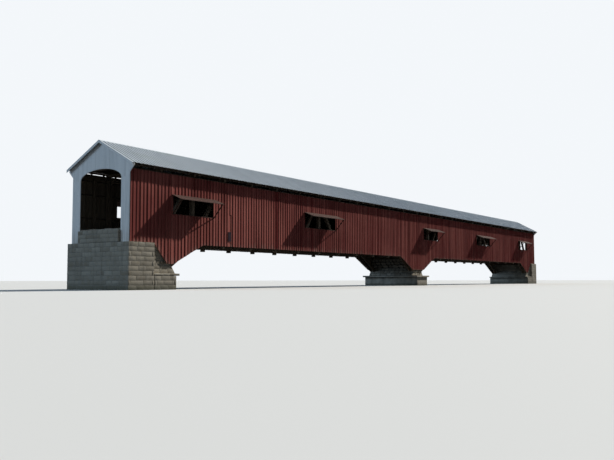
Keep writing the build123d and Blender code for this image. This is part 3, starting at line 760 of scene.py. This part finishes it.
def bolt_tree():
    """A washer and a six-sided head on each point, facing along the point's own way."""
    t = Tree("bolts_on_points", {
        "Washer Radius": 0.0032, "Head Radius": 0.0019, "Head Height": 0.0014, "Seed": 5,
    })
    washer = t.geo("MeshCylinder", {"Vertices": 12, "Radius": t.start["Washer Radius"], "Depth": 0.0008})
    height = t.start["Head Height"]
    head = t.geo("MeshCylinder", {"Vertices": 6, "Radius": t.start["Head Radius"], "Depth": height})
    out = t.combine(0.0, 0.0, t.times(height, 0.7))
    head = t.geo("Transform", {"Geometry": head, "Translation": out})
    turn = t.vector("ADD", t.carried("turn"), t.combine(0.0, t.chance(0.0, 1.0)))
    return t.done(t.on_points(t.together(washer, head), Rotation=turn))


def head_tree():
    """The small head of a nail or screw on each point, facing along the point's own way."""
    t = Tree("heads_on_points", {"Head Radius": 0.0008, "Head Height": 0.0005, "Seed": 6})
    radius = t.start["Head Radius"]
    sizes = {"Radius Top": t.times(radius, 0.6), "Radius Bottom": radius, "Depth": t.start["Head Height"]}
    head = t.geo("MeshCone", {"Vertices": 6, **sizes})
    spun = t.on_points(head, Rotation=t.combine(0.0, 0.0, t.chance(0.0, 1.0)))
    return t.done(t.geo("RotateInstances", {"Instances": spun, "Rotation": t.carried("turn")}))


def rib_tree():
    """One slope of ribbed roof sheet, from eave to ridge, in sheets that lap by a hair."""
    t = Tree("ribbed_roof_sheet", {
        "Ribs": RIBS, "Rib Pitch": RIB_PITCH, "Rib Height": RIB_HEIGHT, "Stiffener Height": STIFFENER_HEIGHT,
        "Eave Y": EAVE_Y, "Slope": ROOF_SLOPE, "Eave Z": EAVE_Z, "Ribs A Sheet": RIBS_A_SHEET, "Seed": 11,
    })
    times, over, plus, minus, start = t.times, t.over, t.plus, t.minus, t.start
    slope, eave_y = start["Slope"], start["Eave Y"]
    corners = float(len(SHEET_PROFILE))
    columns = plus(times(start["Ribs"], corners), 1.0)
    grid = t.geo("MeshGrid", {"Size X": 1.0, "Size Y": 1.0, "Vertices X": columns, "Vertices Y": 5})
    flat = t.split(t.geo("InputPosition"))
    column = t.maths("ROUND", times(plus(flat[0], 0.5), minus(columns, 1.0)))
    row = t.maths("ROUND", times(plus(flat[1], 0.5), 4.0))
    corner = t.maths("MODULO", column, corners)
    rib = t.maths("FLOOR", over(column, corners))

    def stepped(value, levels):
        """The level for each whole value, as a sum of steps up and down."""
        total = levels[0]
        for place in range(1, len(levels)):
            if levels[place] != levels[place - 1]:
                past = t.maths("GREATER_THAN", value, place - 0.5)
                total = plus(total, times(past, levels[place] - levels[place - 1]))
        return total

    share, on_rib, on_stiffener = [stepped(corner, [float(p[i]) for p in SHEET_PROFILE]) for i in range(3)]
    x = times(minus(plus(rib, share), times(start["Ribs"], 0.5)), start["Rib Pitch"])
    along = stepped(row, (0.0, 0.5, 0.947, 0.953, 1.0))
    clear = t.maths("LESS_THAN", row, 2.5)
    sheet = t.maths("FLOOR", over(rib, start["Ribs A Sheet"]))
    lap = times(t.maths("MODULO", rib, start["Ribs A Sheet"]), -0.00008)
    height = plus(times(on_rib, start["Rib Height"]), times(on_stiffener, start["Stiffener Height"]))
    lift = plus(times(height, clear), minus(lap, 0.00045))
    tone = t.add("ShaderNodeTexWhiteNoise", {"W": sheet}, noise_dimensions="1D").outputs["Value"]
    ragged = times(t.maths("LESS_THAN", row, 0.5), times(tone, 0.0016))
    stretch = t.maths("SQRT", plus(1.0, times(slope, slope)))
    y_out = minus(times(eave_y, minus(1.0, along)), ragged)
    z = plus(start["Eave Z"], times(slope, minus(eave_y, y_out)))
    y = minus(times(y_out, -1.0), over(times(lift, slope), stretch))
    place = t.combine(x, y, plus(z, over(lift, stretch)))
    for name, value in {"rib": on_rib, "tone": tone, "rise": along}.items():
        grid = t.store(grid, name, value)
    return t.done(t.geo("SetPosition", {"Geometry": grid, "Position": place}))


def lay_planks(name, slot, nodes, rows, turn, unit):
    """A piece made of planks, for some CAD nodes. Each row is a place, size, tone and slant of the foot."""
    points, sizes, tones, slants = zip(*rows)
    mesh = grow(name, planks, {**unit, "Finish": finishes[slot]}, points, size=sizes,
                turn=[turn] * len(rows), foot_slant=slants, tone=tones)
    return new_piece(name, mesh, slot, nodes)


# Siding


def foot_height(x):
    """Height of the foot of the boards, which drop in skirts over the arch feet."""
    x = abs(x)
    for (x0, z0), (x1, z1) in zip(WALL_FOOT, WALL_FOOT[1:]):
        if x <= x1:
            return z0 + (z1 - z0) * (x - x0) / (x1 - x0)
    return WALL_FOOT[-1][1]


def window_at(x, margin=0.0):
    for middle, width in WINDOWS:
        if abs(x - middle) < width / 2 - margin:
            return middle, width
    return None


def runs_of_board(a, b, chance):
    """The lengths of board between two marks along the wall, as (foot, head, slant of the foot)."""
    middle = (a + b) / 2
    foot = (foot_height(a + 1e-5) + foot_height(b - 1e-5)) / 2
    slant = (foot_height(b - 1e-5) - foot_height(a + 1e-5)) / (b - a)
    ragged = chance.uniform(0.0, 0.0014)
    if window_at(middle):
        return [(foot + ragged, SILL_Z - 0.0002, slant), (HEAD_Z + 0.0002, WALL_TOP, 0.0)]
    return [(foot + ragged, WALL_TOP, slant)]


def siding(side):
    """Boards edge to edge with a wide batten over each joint, cut round windows and shaped at the skirts."""
    chance = random.Random(41 + side)
    waves = [(chance.uniform(3, 14), chance.uniform(0, 6.3), chance.uniform(0.03, 0.07)) for _ in range(5)]
    pitch = 2 * WALL_END / BOARDS_A_SIDE
    joints = [-WALL_END + i * pitch for i in range(BOARDS_A_SIDE + 1)]
    fixed = [m + way * w / 2 for m, w in WINDOWS for way in (-1, 1)]
    fixed += [way * x for x, _ in WALL_FOOT[1:-1] for way in (-1, 1)]
    marks = [x for x in joints if all(abs(x - f) > 0.003 for f in fixed)] + fixed
    marks.sort()
    rows, nails = [], []
    loose = joints[LOOSE_JOINT] if side < 0 else None

    def paint_at(x, usual, spread):
        """The paint's tone: paler towards the west, in stretches, and different on every board, about a
        usual tone that is low on boards as painted shade and high on battens as painted sunlight.
        """
        stretches = sum(depth * math.sin(rate * x + start) for rate, start, depth in waves)
        return min(1.0, max(0.0, chance.gauss(usual - PAINT_DRIFT * x + stretches, spread)))

    def lay(x, y, width, thickness, runs, tone):
        for foot, head, slant in runs:
            rows.append(((x, side * y, foot), (width, thickness, head - foot), tone, -side * slant))

    for a, b in zip(marks, marks[1:]):
        if a not in fixed:
            tone = paint_at(a, *BOARD_TONE_WITH_PAINTED_SHADE)
            y = WALL_FACE - BOARD_THICKNESS / 2 - chance.uniform(0, 0.0004)
        runs = runs_of_board(a, b, chance)
        if loose in (a, b):
            foot, head, _ = runs[0]
            way = 1 if loose == a else -1
            middle, width = (a + b + way * LOOSE_GAP) / 2, b - a - LOOSE_GAP
            lay(middle, y, width, BOARD_THICKNESS, [(foot, LOOSE_HEAD, 0.0)], tone)
            runs = [(LOOSE_HEAD, head, 0.0)]
        left, right = [m + (0 if m in fixed else way * BOARD_GAP / 2) for m, way in ((a, 1), (b, -1))]
        lay((left + right) / 2, y, right - left, BOARD_THICKNESS, runs, tone)
    for x in joints:
        width = BATTEN_WIDTH + chance.uniform(-0.0012, 0.0012)
        thick = BATTEN_THICKNESS + chance.uniform(-0.0005, 0.0004)
        x = min(max(x + chance.uniform(-0.0008, 0.0008), width / 2 - WALL_END), WALL_END - width / 2)
        near = window_at(x, -width / 2)
        if near and not window_at(x):
            x = near[0] + math.copysign(near[1] / 2 + width / 2, x - near[0])
        tone = paint_at(x, *BATTEN_TONE_WITH_PAINTED_LIGHT)
        runs = runs_of_board(x - width / 2, x + width / 2, chance)
        if loose and abs(x - loose) < 0.002:
            runs = [(LOOSE_HEAD, runs[0][1], 0.0)]
        lay(x, WALL_FACE + thick / 2 - BATTEN_SET_IN, width, thick, runs, tone)
        face = WALL_FACE + thick - BATTEN_SET_IN
        for z in NAIL_HEIGHTS:
            if any(foot + 0.006 < z < head - 0.004 for foot, head, _ in runs):
                across = x + chance.uniform(-0.0015, 0.0015)
                nails.append((across, side * face, z + chance.uniform(-0.002, 0.002)))
    if side < 0:
        x, z, width, height = PATCH
        y = WALL_FACE + BATTEN_THICKNESS + 0.0014
        lay(x, y, width, PATCH_THICKNESS, [(z, z + height, 0.0)], PATCH_TONE)
    word = SIDE_WORDS[side]
    unit = {"Unit Width": 0.02, "Unit Thickness": 0.0026, "Chamfer": 0.00045, "Lean": 0.0015,
            "Seed": 20 + side}
    lay_planks(f"siding_boards_{word}", "red_boards", (f"siding_{word}", f"skirts_{word}"), rows,
               (0.0, 0.0, math.pi if side > 0 else 0.0), unit)
    return [(place, (-side * math.pi / 2, 0.0, 0.0)) for place in nails]


# Roof


def roof_side(side):
    name = f"ribbed_sheet_{SIDE_WORDS[side]}"
    mesh = grow(name, ribs, {"Finish": finishes["roof_metal"]}, [(0, 0, 0)])
    if side > 0:
        mesh.transform(Matrix.Rotation(math.pi, 4, "Z"))
    sheet = put(name, mesh)
    metal = sheet.modifiers.new("sheet_thickness", "SOLIDIFY")
    metal.thickness = SHEET_THICKNESS
    metal.offset = -1.0
    solid = evaluated(sheet)
    bpy.data.objects.remove(sheet)
    return new_piece(name, solid, "roof_metal", (f"roof_sheet_{SIDE_WORDS[side]}",))


def roof_screws():
    """A screw in each pan beside the rib, at every lath that shows below the ridge cap."""
    screws = []
    for side in (-1, 1):
        for lath in range(LATHS_A_SIDE):
            y = EAVE_Y - LATH_EAVE_INSET - lath * LATH_PITCH
            z = EAVE_Z + ROOF_SLOPE * (EAVE_Y - y) - 0.0004
            for rib in range(RIBS):
                x = side * ((rib + SCREW_SHARE) * RIB_PITCH - ROOF_END)
                screws.append(((-x, side * y, z), (-side * math.atan(ROOF_SLOPE), 0.0, 0.0)))
    return screws


def heads(name, fixings, radius, height, finish):
    """The heads of nails or screws, each given as its place and turn."""
    places, turns = zip(*fixings)
    sizes = {"Head Radius": radius, "Head Height": height, "Finish": finish}
    mesh = grow(name, small_heads, sizes, places, turn=turns)
    return new_piece(name, mesh)


def prism(bm, outline, x0, x1):
    """A bar along X with an outline of (y, z) points."""
    ends = [[bm.verts.new((x, y, z)) for y, z in outline] for x in (x0, x1)]
    count = len(outline)
    bm.faces.new(ends[0][::-1])
    bm.faces.new(ends[1])
    for i in range(count):
        j = (i + 1) % count
        bm.faces.new((ends[0][i], ends[0][j], ends[1][j], ends[1][i]))


def side_prism(bm, outline, y0, y1):
    """A block across the bridge with an outline of (x, z) points."""
    ends = [[bm.verts.new((x, y, z)) for x, z in outline] for y in (y0, y1)]
    count = len(outline)
    bm.faces.new(ends[0])
    bm.faces.new(ends[1][::-1])
    for i in range(count):
        j = (i + 1) % count
        bm.faces.new((ends[0][j], ends[0][i], ends[1][i], ends[1][j]))


def ridge_cap():
    """Folded cap lengths, each lapped under the next, with turned-down hems."""
    bm = bmesh.new()
    half_width = CAP_HALF_WIDTH
    count = round(2 * ROOF_END / CAP_LENGTH)
    step = 2 * ROOF_END / count
    ridge = EAVE_Z + EAVE_Y * ROOF_SLOPE
    for i in range(count):
        x0 = -ROOF_END + i * step - (LAP if i else 0)
        x1 = -ROOF_END + (i + 1) * step
        top = ridge + 0.0010 - (0.0002 if i % 2 else 0)
        low = top - half_width * ROOF_SLOPE * 0.92
        half = [
            (0, top), (half_width, low), (half_width + 0.0004, low - 0.0018),
            (half_width - 0.0002, low - 0.0018), (half_width - 0.0006, low - 0.0005), (0, top - 0.0005),
        ]
        prism(bm, half + [(-y, z) for y, z in half[-2:0:-1]], x0, x1)
    bmesh.ops.recalc_face_normals(bm, faces=bm.faces)
    layers = {name: bm.verts.layers.float.new(name) for name in ("rib", "tone", "rise")}
    for faces in loose_parts(bm):
        shade = chance_for(faces[0].verts[0].co).random()
        for v in corners_of(faces):
            v[layers["rib"]] = 1.0
            v[layers["tone"]] = shade
            v[layers["rise"]] = 1.0
    mesh = to_mesh(bm, "ridge_cap_lengths", finishes["roof_metal"])
    return new_piece("ridge_cap_lengths", mesh, "roof_metal", ("ridge_cap",))


# Hoods


def hood_roofs():
    """Weathered planks lapped down each window hood, on cleats, with ragged ends and edges."""
    bm = bmesh.new()
    grain, tone, rise = timber_layers(bm)
    tilt = math.atan2(HOOD_DROP, HOOD_REACH)
    slope_length = math.hypot(HOOD_DROP, HOOD_REACH)

    def plank(middle, half, side, s0, s1, chance):
        shade, start = chance.random(), Vector(start_of_grain(chance))
        rows = []
        left = middle - half + chance.uniform(-0.003, 0.005)
        right = middle + half - chance.uniform(-0.003, 0.005)
        for k in range(HOOD_STATIONS):
            x = left + (right - left) * k / (HOOD_STATIONS - 1)
            ring = []
            wave = [chance.uniform(-0.0011, 0.0011) for _ in range(2)]
            for end, shift, lift in zip((s0, s1), wave, HOOD_LIFTS):
                s = min(max(end + shift, 0.0006), slope_length - 0.0004)
                for up in (lift, lift + HOOD_THICKNESS):
                    y = WALL_FACE + s * math.cos(tilt) + up * math.sin(tilt)
                    z = HOOD_TOP - s * math.sin(tilt) + (up - 0.0034) * math.cos(tilt)
                    v = bm.verts.new((x, side * min(y, HOOD_LIMIT_Y), z))
                    v[grain] = Vector((x, s, up)) + start
                    v[tone] = shade
                    v[rise] = s
                    ring.append(v)
            rows.append([ring[0], ring[2], ring[3], ring[1]])
        for first, second in zip(rows, rows[1:]):
            for i in range(4):
                j = (i + 1) % 4
                bm.faces.new((first[i], first[j], second[j], second[i]))
        bm.faces.new(rows[0][::-1])
        bm.faces.new(rows[-1])

    for side in (-1, 1):
        for middle, width in WINDOWS:
            chance = random.Random(int(middle * 1000) + side)
            half = width / 2 + HOOD_OVERLAP
            cover = slope_length / HOOD_PLANKS
            for i in range(HOOD_PLANKS):
                s0 = i * cover - (LAP if i else 0)
                plank(middle, half, side, s0, (i + 1) * cover + 0.001, chance)
            for place in CLEAT_PLACES:
                x = middle + place * width
                end = slope_length - 0.006
                outline = [(0.0006, 0.0032), (end, 0.0032), (end, 0.0072), (0.0006, 0.0082)]
                cleat = [bm.verts.new((x + dx, side * (WALL_FACE + s * math.cos(tilt)),
                                       HOOD_TOP - s * math.sin(tilt) - drop * math.cos(tilt)))
                         for dx in (-0.0025, 0.0025) for s, drop in outline]
                start = Vector(start_of_grain(chance))
                shade = chance.random() * 0.5
                for v in cleat:
                    v[grain] = Vector((v.co.y, v.co.x, v.co.z)) + start
                    v[tone] = shade
                for face in ("0123", "7654", "0451", "1562", "2673", "3740"):
                    bm.faces.new([cleat[int(n)] for n in face])
    bmesh.ops.recalc_face_normals(bm, faces=bm.faces)
    mesh = to_mesh(bm, "hood_planks", finishes["weathered_boards"])
    return new_piece("hood_planks", mesh, "weathered_boards", ("window_hoods",))


# Floor


def deck_planks():
    """Cross planks of the deck, a little uneven, narrowed between the portal jambs."""
    chance = random.Random(5)
    pitch = 2 * PORTAL_FACE / DECK_PLANKS
    rows = []
    for i in range(DECK_PLANKS):
        x = -PORTAL_FACE + (i + 0.5) * pitch
        half = DECK_HALF if abs(x) + pitch / 2 < WALL_END else JAMB_HALF
        thick = DECK_THICKNESS - chance.uniform(0, 0.0004)
        place = (x, -half + chance.uniform(0, 0.001), DECK_Z + thick / 2)
        size = (pitch - chance.uniform(0.0004, 0.001), thick, 2 * half - chance.uniform(0.001, 0.002))
        rows.append((place, size, chance.random(), 0.0))
    unit = {"Unit Width": 0.027, "Unit Thickness": 0.006, "Chamfer": 0.0006, "Lean": 0.001, "Seed": 2}
    return lay_planks("deck_cross_planks", "deck_planks", ("deck",), rows, (-math.pi / 2, 0.0, 0.0), unit)


def wheel_planks():
    """Two lines of planks for each wheel, butted end to end with staggered joints."""
    chance = random.Random(9)
    rows = []
    for line in RUNNER_LINES:
        x = -PORTAL_FACE
        while x < PORTAL_FACE - 1e-6:
            length = chance.uniform(0.2, 0.3) if x == -PORTAL_FACE else chance.uniform(0.34, 0.42)
            if PORTAL_FACE - x - length < 0.12:
                length = PORTAL_FACE - x
            thick = RUNNER_THICKNESS - chance.uniform(0, 0.0003)
            place, size = (x + 0.0003, line, RUNNER_Z + thick / 2), (0.0294, thick, length - 0.0006)
            rows.append((place, size, chance.random(), 0.0))
            x += length
    unit = {"Unit Width": 0.03, "Unit Thickness": 0.003, "Chamfer": 0.0006, "Lean": 0.0, "Seed": 4}
    return lay_planks("wheel_planks", "deck_planks", ("runner_planks",), rows,
                      (math.pi / 2, 0.0, math.pi / 2), unit)


# Masonry


def courses(low, high, rise, run, chance, joint):
    """Blocks laid round a box in courses that break joint, the top course across the whole of it."""
    blocks = []
    levels = max(1, round((high[2] - low[2]) / rise))
    height = (high[2] - low[2]) / levels

    def row(start, stop, fixed, axis, z, thick):
        count = max(1, round((stop - start) / run))
        marks = [start + (stop - start) * k / count for k in range(count + 1)]
        for k in range(1, count):
            marks[k] += chance.uniform(-0.22, 0.22) * (stop - start) / count
        for a, b in zip(marks, marks[1:]):
            centre, size = [0.0, 0.0, z], [0.0, 0.0, height - joint]
            centre[axis], size[axis] = (a + b) / 2, b - a - joint
            centre[1 - axis], size[1 - axis] = fixed, thick - joint
            blocks.append((tuple(centre), tuple(size)))

    for level in range(levels):
        z = low[2] + (level + 0.5) * height
        if level == levels - 1:
            lanes = max(1, round((high[1] - low[1]) / (run * 0.7)))
            wide = (high[1] - low[1]) / lanes
            for lane in range(lanes):
                row(low[0], high[0], low[1] + (lane + 0.5) * wide, 0, z, wide)
            continue
        inset = (STONE_DEPTH, 0.0) if level % 2 else (0.0, STONE_DEPTH)
        for y in (low[1] + STONE_DEPTH / 2, high[1] - STONE_DEPTH / 2):
            row(low[0] + inset[0], high[0] - inset[0], y, 0, z, STONE_DEPTH)
        for x in (low[0] + STONE_DEPTH / 2, high[0] - STONE_DEPTH / 2):
            row(low[1] + inset[1], high[1] - inset[1], x, 1, z, STONE_DEPTH)
    return blocks


def skewback(z):
    return SKEWBACK_X + (SKEWBACK_Z - z) * SKEWBACK_LEAN


def stone_piece(
    name, node, boxes, seat, seed, joint=0.0012, margin=0.0012, spread=0.25, between=mortar, **rough
):
    """Block walls round a core, which stands a little inside the CAD faces and shows in the joints.

    The seat is one more box, given with its sloping ends: x of the low and high corners at its top and foot.
    """
    chance = random.Random(seed)
    inset = margin + CORE_INSET
    seat_box, top_ends, foot_ends = seat
    foot_z, top_z = seat_box[0][2], seat_box[1][2]

    def leaning(x, z):
        """Where a point of the upright seat box comes when its ends are given their slope."""
        share = (z - foot_z) / (top_z - foot_z)
        ends = [foot + (top - foot) * share for foot, top in zip(foot_ends, top_ends)]
        return ends[0] + (x - foot_ends[0]) / (foot_ends[1] - foot_ends[0]) * (ends[1] - ends[0])

    def walls(boxes):
        blocks = []
        for low, high, rise, run in boxes:
            low = (low[0] + margin, low[1] + margin, low[2])
            high = (high[0] - margin, high[1] - margin, high[2])
            blocks += courses(low, high, rise, run, chance, joint)
        points, sizes = zip(*blocks)
        tones = [min(1.0, max(0.0, chance.gauss(0.5, spread))) for _ in points]
        look = {"Finish": finishes["stonework"], "Seed": seed, **rough}
        return grow(name, stones, look, points, size=sizes, tone=tones)

    upright, sloping = walls(boxes), walls([seat_box])
    for v in sloping.vertices:
        v.co.x = leaning(v.co.x, v.co.z)
    for mesh in (upright, sloping):
        mesh.shade_smooth()
        mesh.set_sharp_from_angle(angle=STONE_SHARP)
    bm = bmesh.new()
    for low, high, _, _ in boxes:
        left, right, top = low[1] + inset, high[1] - inset, high[2] - inset
        outline = [(left, low[2]), (right, low[2]), (right, top), (left, top)]
        prism(bm, outline, low[0] + inset, high[0] - inset)
    heights = (foot_z + 0.0002, top_z - 0.0002)
    outline = [(leaning(end, z) + way * inset, z)
               for z, ends in zip(heights, (foot_ends, foot_ends[::-1]))
               for end, way in zip(ends, (1, -1) if ends == foot_ends else (-1, 1))]
    side_prism(bm, outline, seat_box[0][1] + inset, seat_box[1][1] - inset)
    bmesh.ops.recalc_face_normals(bm, faces=bm.faces)
    core = to_mesh(bm, name + "_core", between)
    mesh = joined(name, [upright, sloping, core])
    return new_piece(name, mesh, slot_of[node], (node,))


def abutment_walls(way):
    """The upright boxes of an abutment, and the seat whose inner end slopes for the arches."""
    # From x, to x, half width, foot, top, height of a course, length of a block
    spans = [
        (3.672, BACK_WALL_X, ABUTMENT_HALF, 0.0, 0.090, 0.030, 0.075),
        (3.642, BACK_WALL_X, ABUTMENT_HALF, 0.090, SEAT_FOOT, 0.016, 0.085),
        (SPAN - skewback(SEAT_TOP), BACK_WALL_X, SEAT_HALF, SEAT_TOP, BEARING_Z, 0.0317, 0.07),
        (3.852, WALL_END, SEAT_HALF, BEARING_Z, 0.364, 0.027, 0.07),
        (BACK_WALL_X, ROOF_END, ABUTMENT_HALF, 0.0, 0.300, 0.030, 0.075),
        (WALL_END, ROOF_END, JAMB_HALF, 0.300, DECK_Z, 0.026, 0.07),
        (SPAN - skewback(SEAT_FOOT), BACK_WALL_X, SEAT_HALF, SEAT_FOOT, SEAT_TOP, 0.028, 0.07),
    ]
    boxes = []
    for x0, x1, y, z0, z1, rise, run in spans:
        x0, x1 = sorted((way * x0, way * x1))
        boxes.append(((x0, -y, z0), (x1, y, z1), rise, run))
    foot_ends = (boxes[-1][0][0], boxes[-1][1][0])
    top_ends = (boxes[2][0][0], boxes[2][1][0])
    return boxes[:-1], (boxes[-1], top_ends, foot_ends)


def pedestal_walls():
    """The upright box of the pedestal, and its seat, which slopes for the arches at both ends."""
    foot, top = skewback(SEAT_FOOT), skewback(SEAT_TOP)
    boxes = [((-top, -SEAT_HALF, SEAT_TOP), (top, SEAT_HALF, BEARING_Z), 0.0317, 0.06)]
    seat = ((-foot, -SEAT_HALF, SEAT_FOOT), (foot, SEAT_HALF, SEAT_TOP), 0.028, 0.06)
    return boxes, (seat, (-top, top), (-foot, foot))


def pier():
    """The concrete pier, cast in lifts, with chipped edges."""
    bm = solid_copy("pier")
    for z in PIER_LIFTS:
        for faces in list(loose_parts(bm)):
            saw(bm, faces, (0, 0, z), (0, 0, 1))
    ease_edges(bm, PIER_EDGE)
    mesh = to_mesh(bm, "pier_cast_lifts", finishes["pier_concrete"])
    return new_piece("pier_cast_lifts", mesh, "pier_concrete", ("pier",))


# Bolts


def arch_z(x):
    from_crown = abs(abs(x) - SPAN / 2)
    return ARCH_CENTRE_Z + math.sqrt(ARCH_RADIUS**2 - from_crown**2)


def truss_bolts():
    """Two bolts through each crossing of post and arch, and two through each post and chord."""
    points, turns = [], []
    chord_y, chord_z = CHORD_BOLTS
    for side in (-1, 1):
        for x in NODES:
            at_arch = 1e-3 < abs(x) < SPAN - 1e-3
            for offset in (-BOLT_OFFSET, BOLT_OFFSET):
                if at_arch:
                    for y, out in ((ARCH_OUTER_Y, 1), (ARCH_INNER_Y, -1)):
                        points.append((x, side * y, arch_z(x) + offset))
                        turns.append((-side * out * math.pi / 2, 0.0, 0.0))
                points.append((x + offset, side * chord_y, chord_z))
                turns.append((side * math.pi / 2, 0.0, 0.0))
    return new_piece("truss_bolts", grow("truss_bolts", bolts, {"Finish": bolt_iron}, points, turn=turns))


# Stage


def place_camera():
    """Puts the camera where the photograph was taken."""
    data = bpy.data.cameras.new("camera")
    data.lens = LENS_MM
    data.sensor_width = SENSOR_MM
    data.sensor_fit = "HORIZONTAL"
    data.clip_end = 200
    camera = put("camera", data)
    ahead = Vector((
        math.sin(LOOK_YAW) * math.cos(LOOK_PITCH),
        math.cos(LOOK_YAW) * math.cos(LOOK_PITCH),
        math.sin(LOOK_PITCH),
    ))
    right = Vector((math.cos(LOOK_YAW), -math.sin(LOOK_YAW), 0))
    up = right.cross(ahead)
    turn = Matrix((right, up, -ahead)).transposed().to_4x4()
    camera.matrix_world = Matrix.Translation(EYE) @ turn @ Matrix.Rotation(LOOK_ROLL, 4, "Z")
    bpy.context.scene.camera = camera


def seen_directly(steps):
    """1 for rays that show a thing itself: to the camera, in a reflection or through glass."""
    path = steps.add("ShaderNodeLightPath").outputs
    direct = steps.maths("MAXIMUM", path["Is Camera Ray"], path["Is Glossy Ray"])
    return steps.maths("MAXIMUM", direct, path["Is Transmission Ray"])


def light_the_stage():
    """A soft sun as the key, a dim blue fill from all round, and a pale floor and backdrop."""
    bpy.context.scene.view_settings.view_transform = "Standard"
    world = bpy.data.worlds.new("studio_air")
    bpy.context.scene.world = world
    world.use_nodes = True
    steps = Steps(world.node_tree)
    fill = world.node_tree.nodes["Background"]
    fill.inputs["Color"].default_value, fill.inputs["Strength"].default_value = FILL
    backdrop = steps.make("ShaderNodeBackground", {"Color": BACKDROP, "Strength": 1.0})
    both = steps.make("ShaderNodeMixShader", {0: seen_directly(steps), 1: fill.outputs[0], 2: backdrop})
    world.node_tree.links.new(both, world.node_tree.nodes["World Output"].inputs["Surface"])
    for name, towards, energy, spread, colour in LAMPS:
        light = bpy.data.lights.new(name, "SUN")
        light.energy = energy
        light.angle = math.radians(spread)
        light.color = colour
        put(name, light).rotation_euler = (-Vector(towards)).to_track_quat("-Z", "Y").to_euler()
    mesh = bpy.data.meshes.new("floor")
    corners = [(x * STAGE_HALF, y * STAGE_HALF, 0) for x, y in ((-1, -1), (1, -1), (1, 1), (-1, 1))]
    mesh.from_pydata(corners, [], [(0, 1, 2, 3)])
    floor = put("floor", mesh)
    f = Finish("pale_floor", roughness=0.9, specular=0.1)
    f.colour = f.mix(seen_directly(f), (0.06, 0.06, 0.06), (0.72, 0.72, 0.71))
    mesh.materials.append(f.done())


planks = plank_tree()
stones = stone_tree()
bolts = bolt_tree()
small_heads = head_tree()
ribs = rib_tree()
nails = []

for side, word in SIDE_WORDS.items():
    nails += siding(side)
    roof_side(side)
    dressed(f"lower_chord_{word}", length=0.98)
    dressed(f"upper_chord_{word}", length=0.98)
    dressed(f"posts_{word}", grain_way=(0, 0, 1))
    dressed(f"braces_{word}")
    for half_word, way in (("west", -1), ("east", 1)):
        radial = []
        for angle in ARCH_JOINTS:
            across, up = math.sin(angle), math.cos(angle)
            point = (way * SPAN / 2 + ARCH_RADIUS * across, 0, ARCH_CENTRE_Z + ARCH_RADIUS * up)
            radial.append((point, (up, 0, -across)))
        dressed(f"arches_{word}_{half_word}", cuts=radial, arched=True)
heads("siding_nails", nails, *NAIL_HEAD, bolt_iron)
heads("roof_screws", roof_screws(), *SCREW_HEAD, screw_zinc)
ridge_cap()
hood_roofs()
deck_planks()
wheel_planks()

# The edge that is rubbed off, then the nodes, each with the length to which its timbers are sawn
for edge, nodes in (
    (0.0005, {"wheel_guards": 0.45, "stringers": 0.8, "floor_beams": None, "bed_timbers": None,
              "overhang_posts": None, "tie_beams": None, "knee_braces": None, "upper_laterals": None,
              "rafter_plates": 0.9}),
    (0.0003, {"rafters": None, "ridge_board": 0.5}),
    (0.0002, {"roof_laths": 0.45}),
    (0.0004, {"siding_girts": 0.6, "rake_boards": None, "window_sills": None}),
):
    for node, length in nodes.items():
        dressed(node, edge, length)
# The struts get only the darkest tones, as painted shade.
dressed("hood_struts", edge=0.0004, tones=(0.0, 0.2))
board_joints = [((0, y, 0), (0, 1, 0)) for y in PORTAL_JOINTS]
for node in ("west_portal", "east_portal"):
    dressed(node, cuts=board_joints, grain_way=(0, 0, 1))
pier()
stone_piece("pedestal_blocks", "pier_pedestal", *pedestal_walls(), 31, joint=0.0020, margin=0.0026,
            spread=0.45, between=dry_joint, Edge=0.0014, Bulge=0.0010, Roughness=0.0030)
stone_piece("west_abutment_blocks", "west_abutment", *abutment_walls(-1), 32)
stone_piece("east_abutment_blocks", "east_abutment", *abutment_walls(1), 33)
truss_bolts()

place_camera()
light_the_stage()
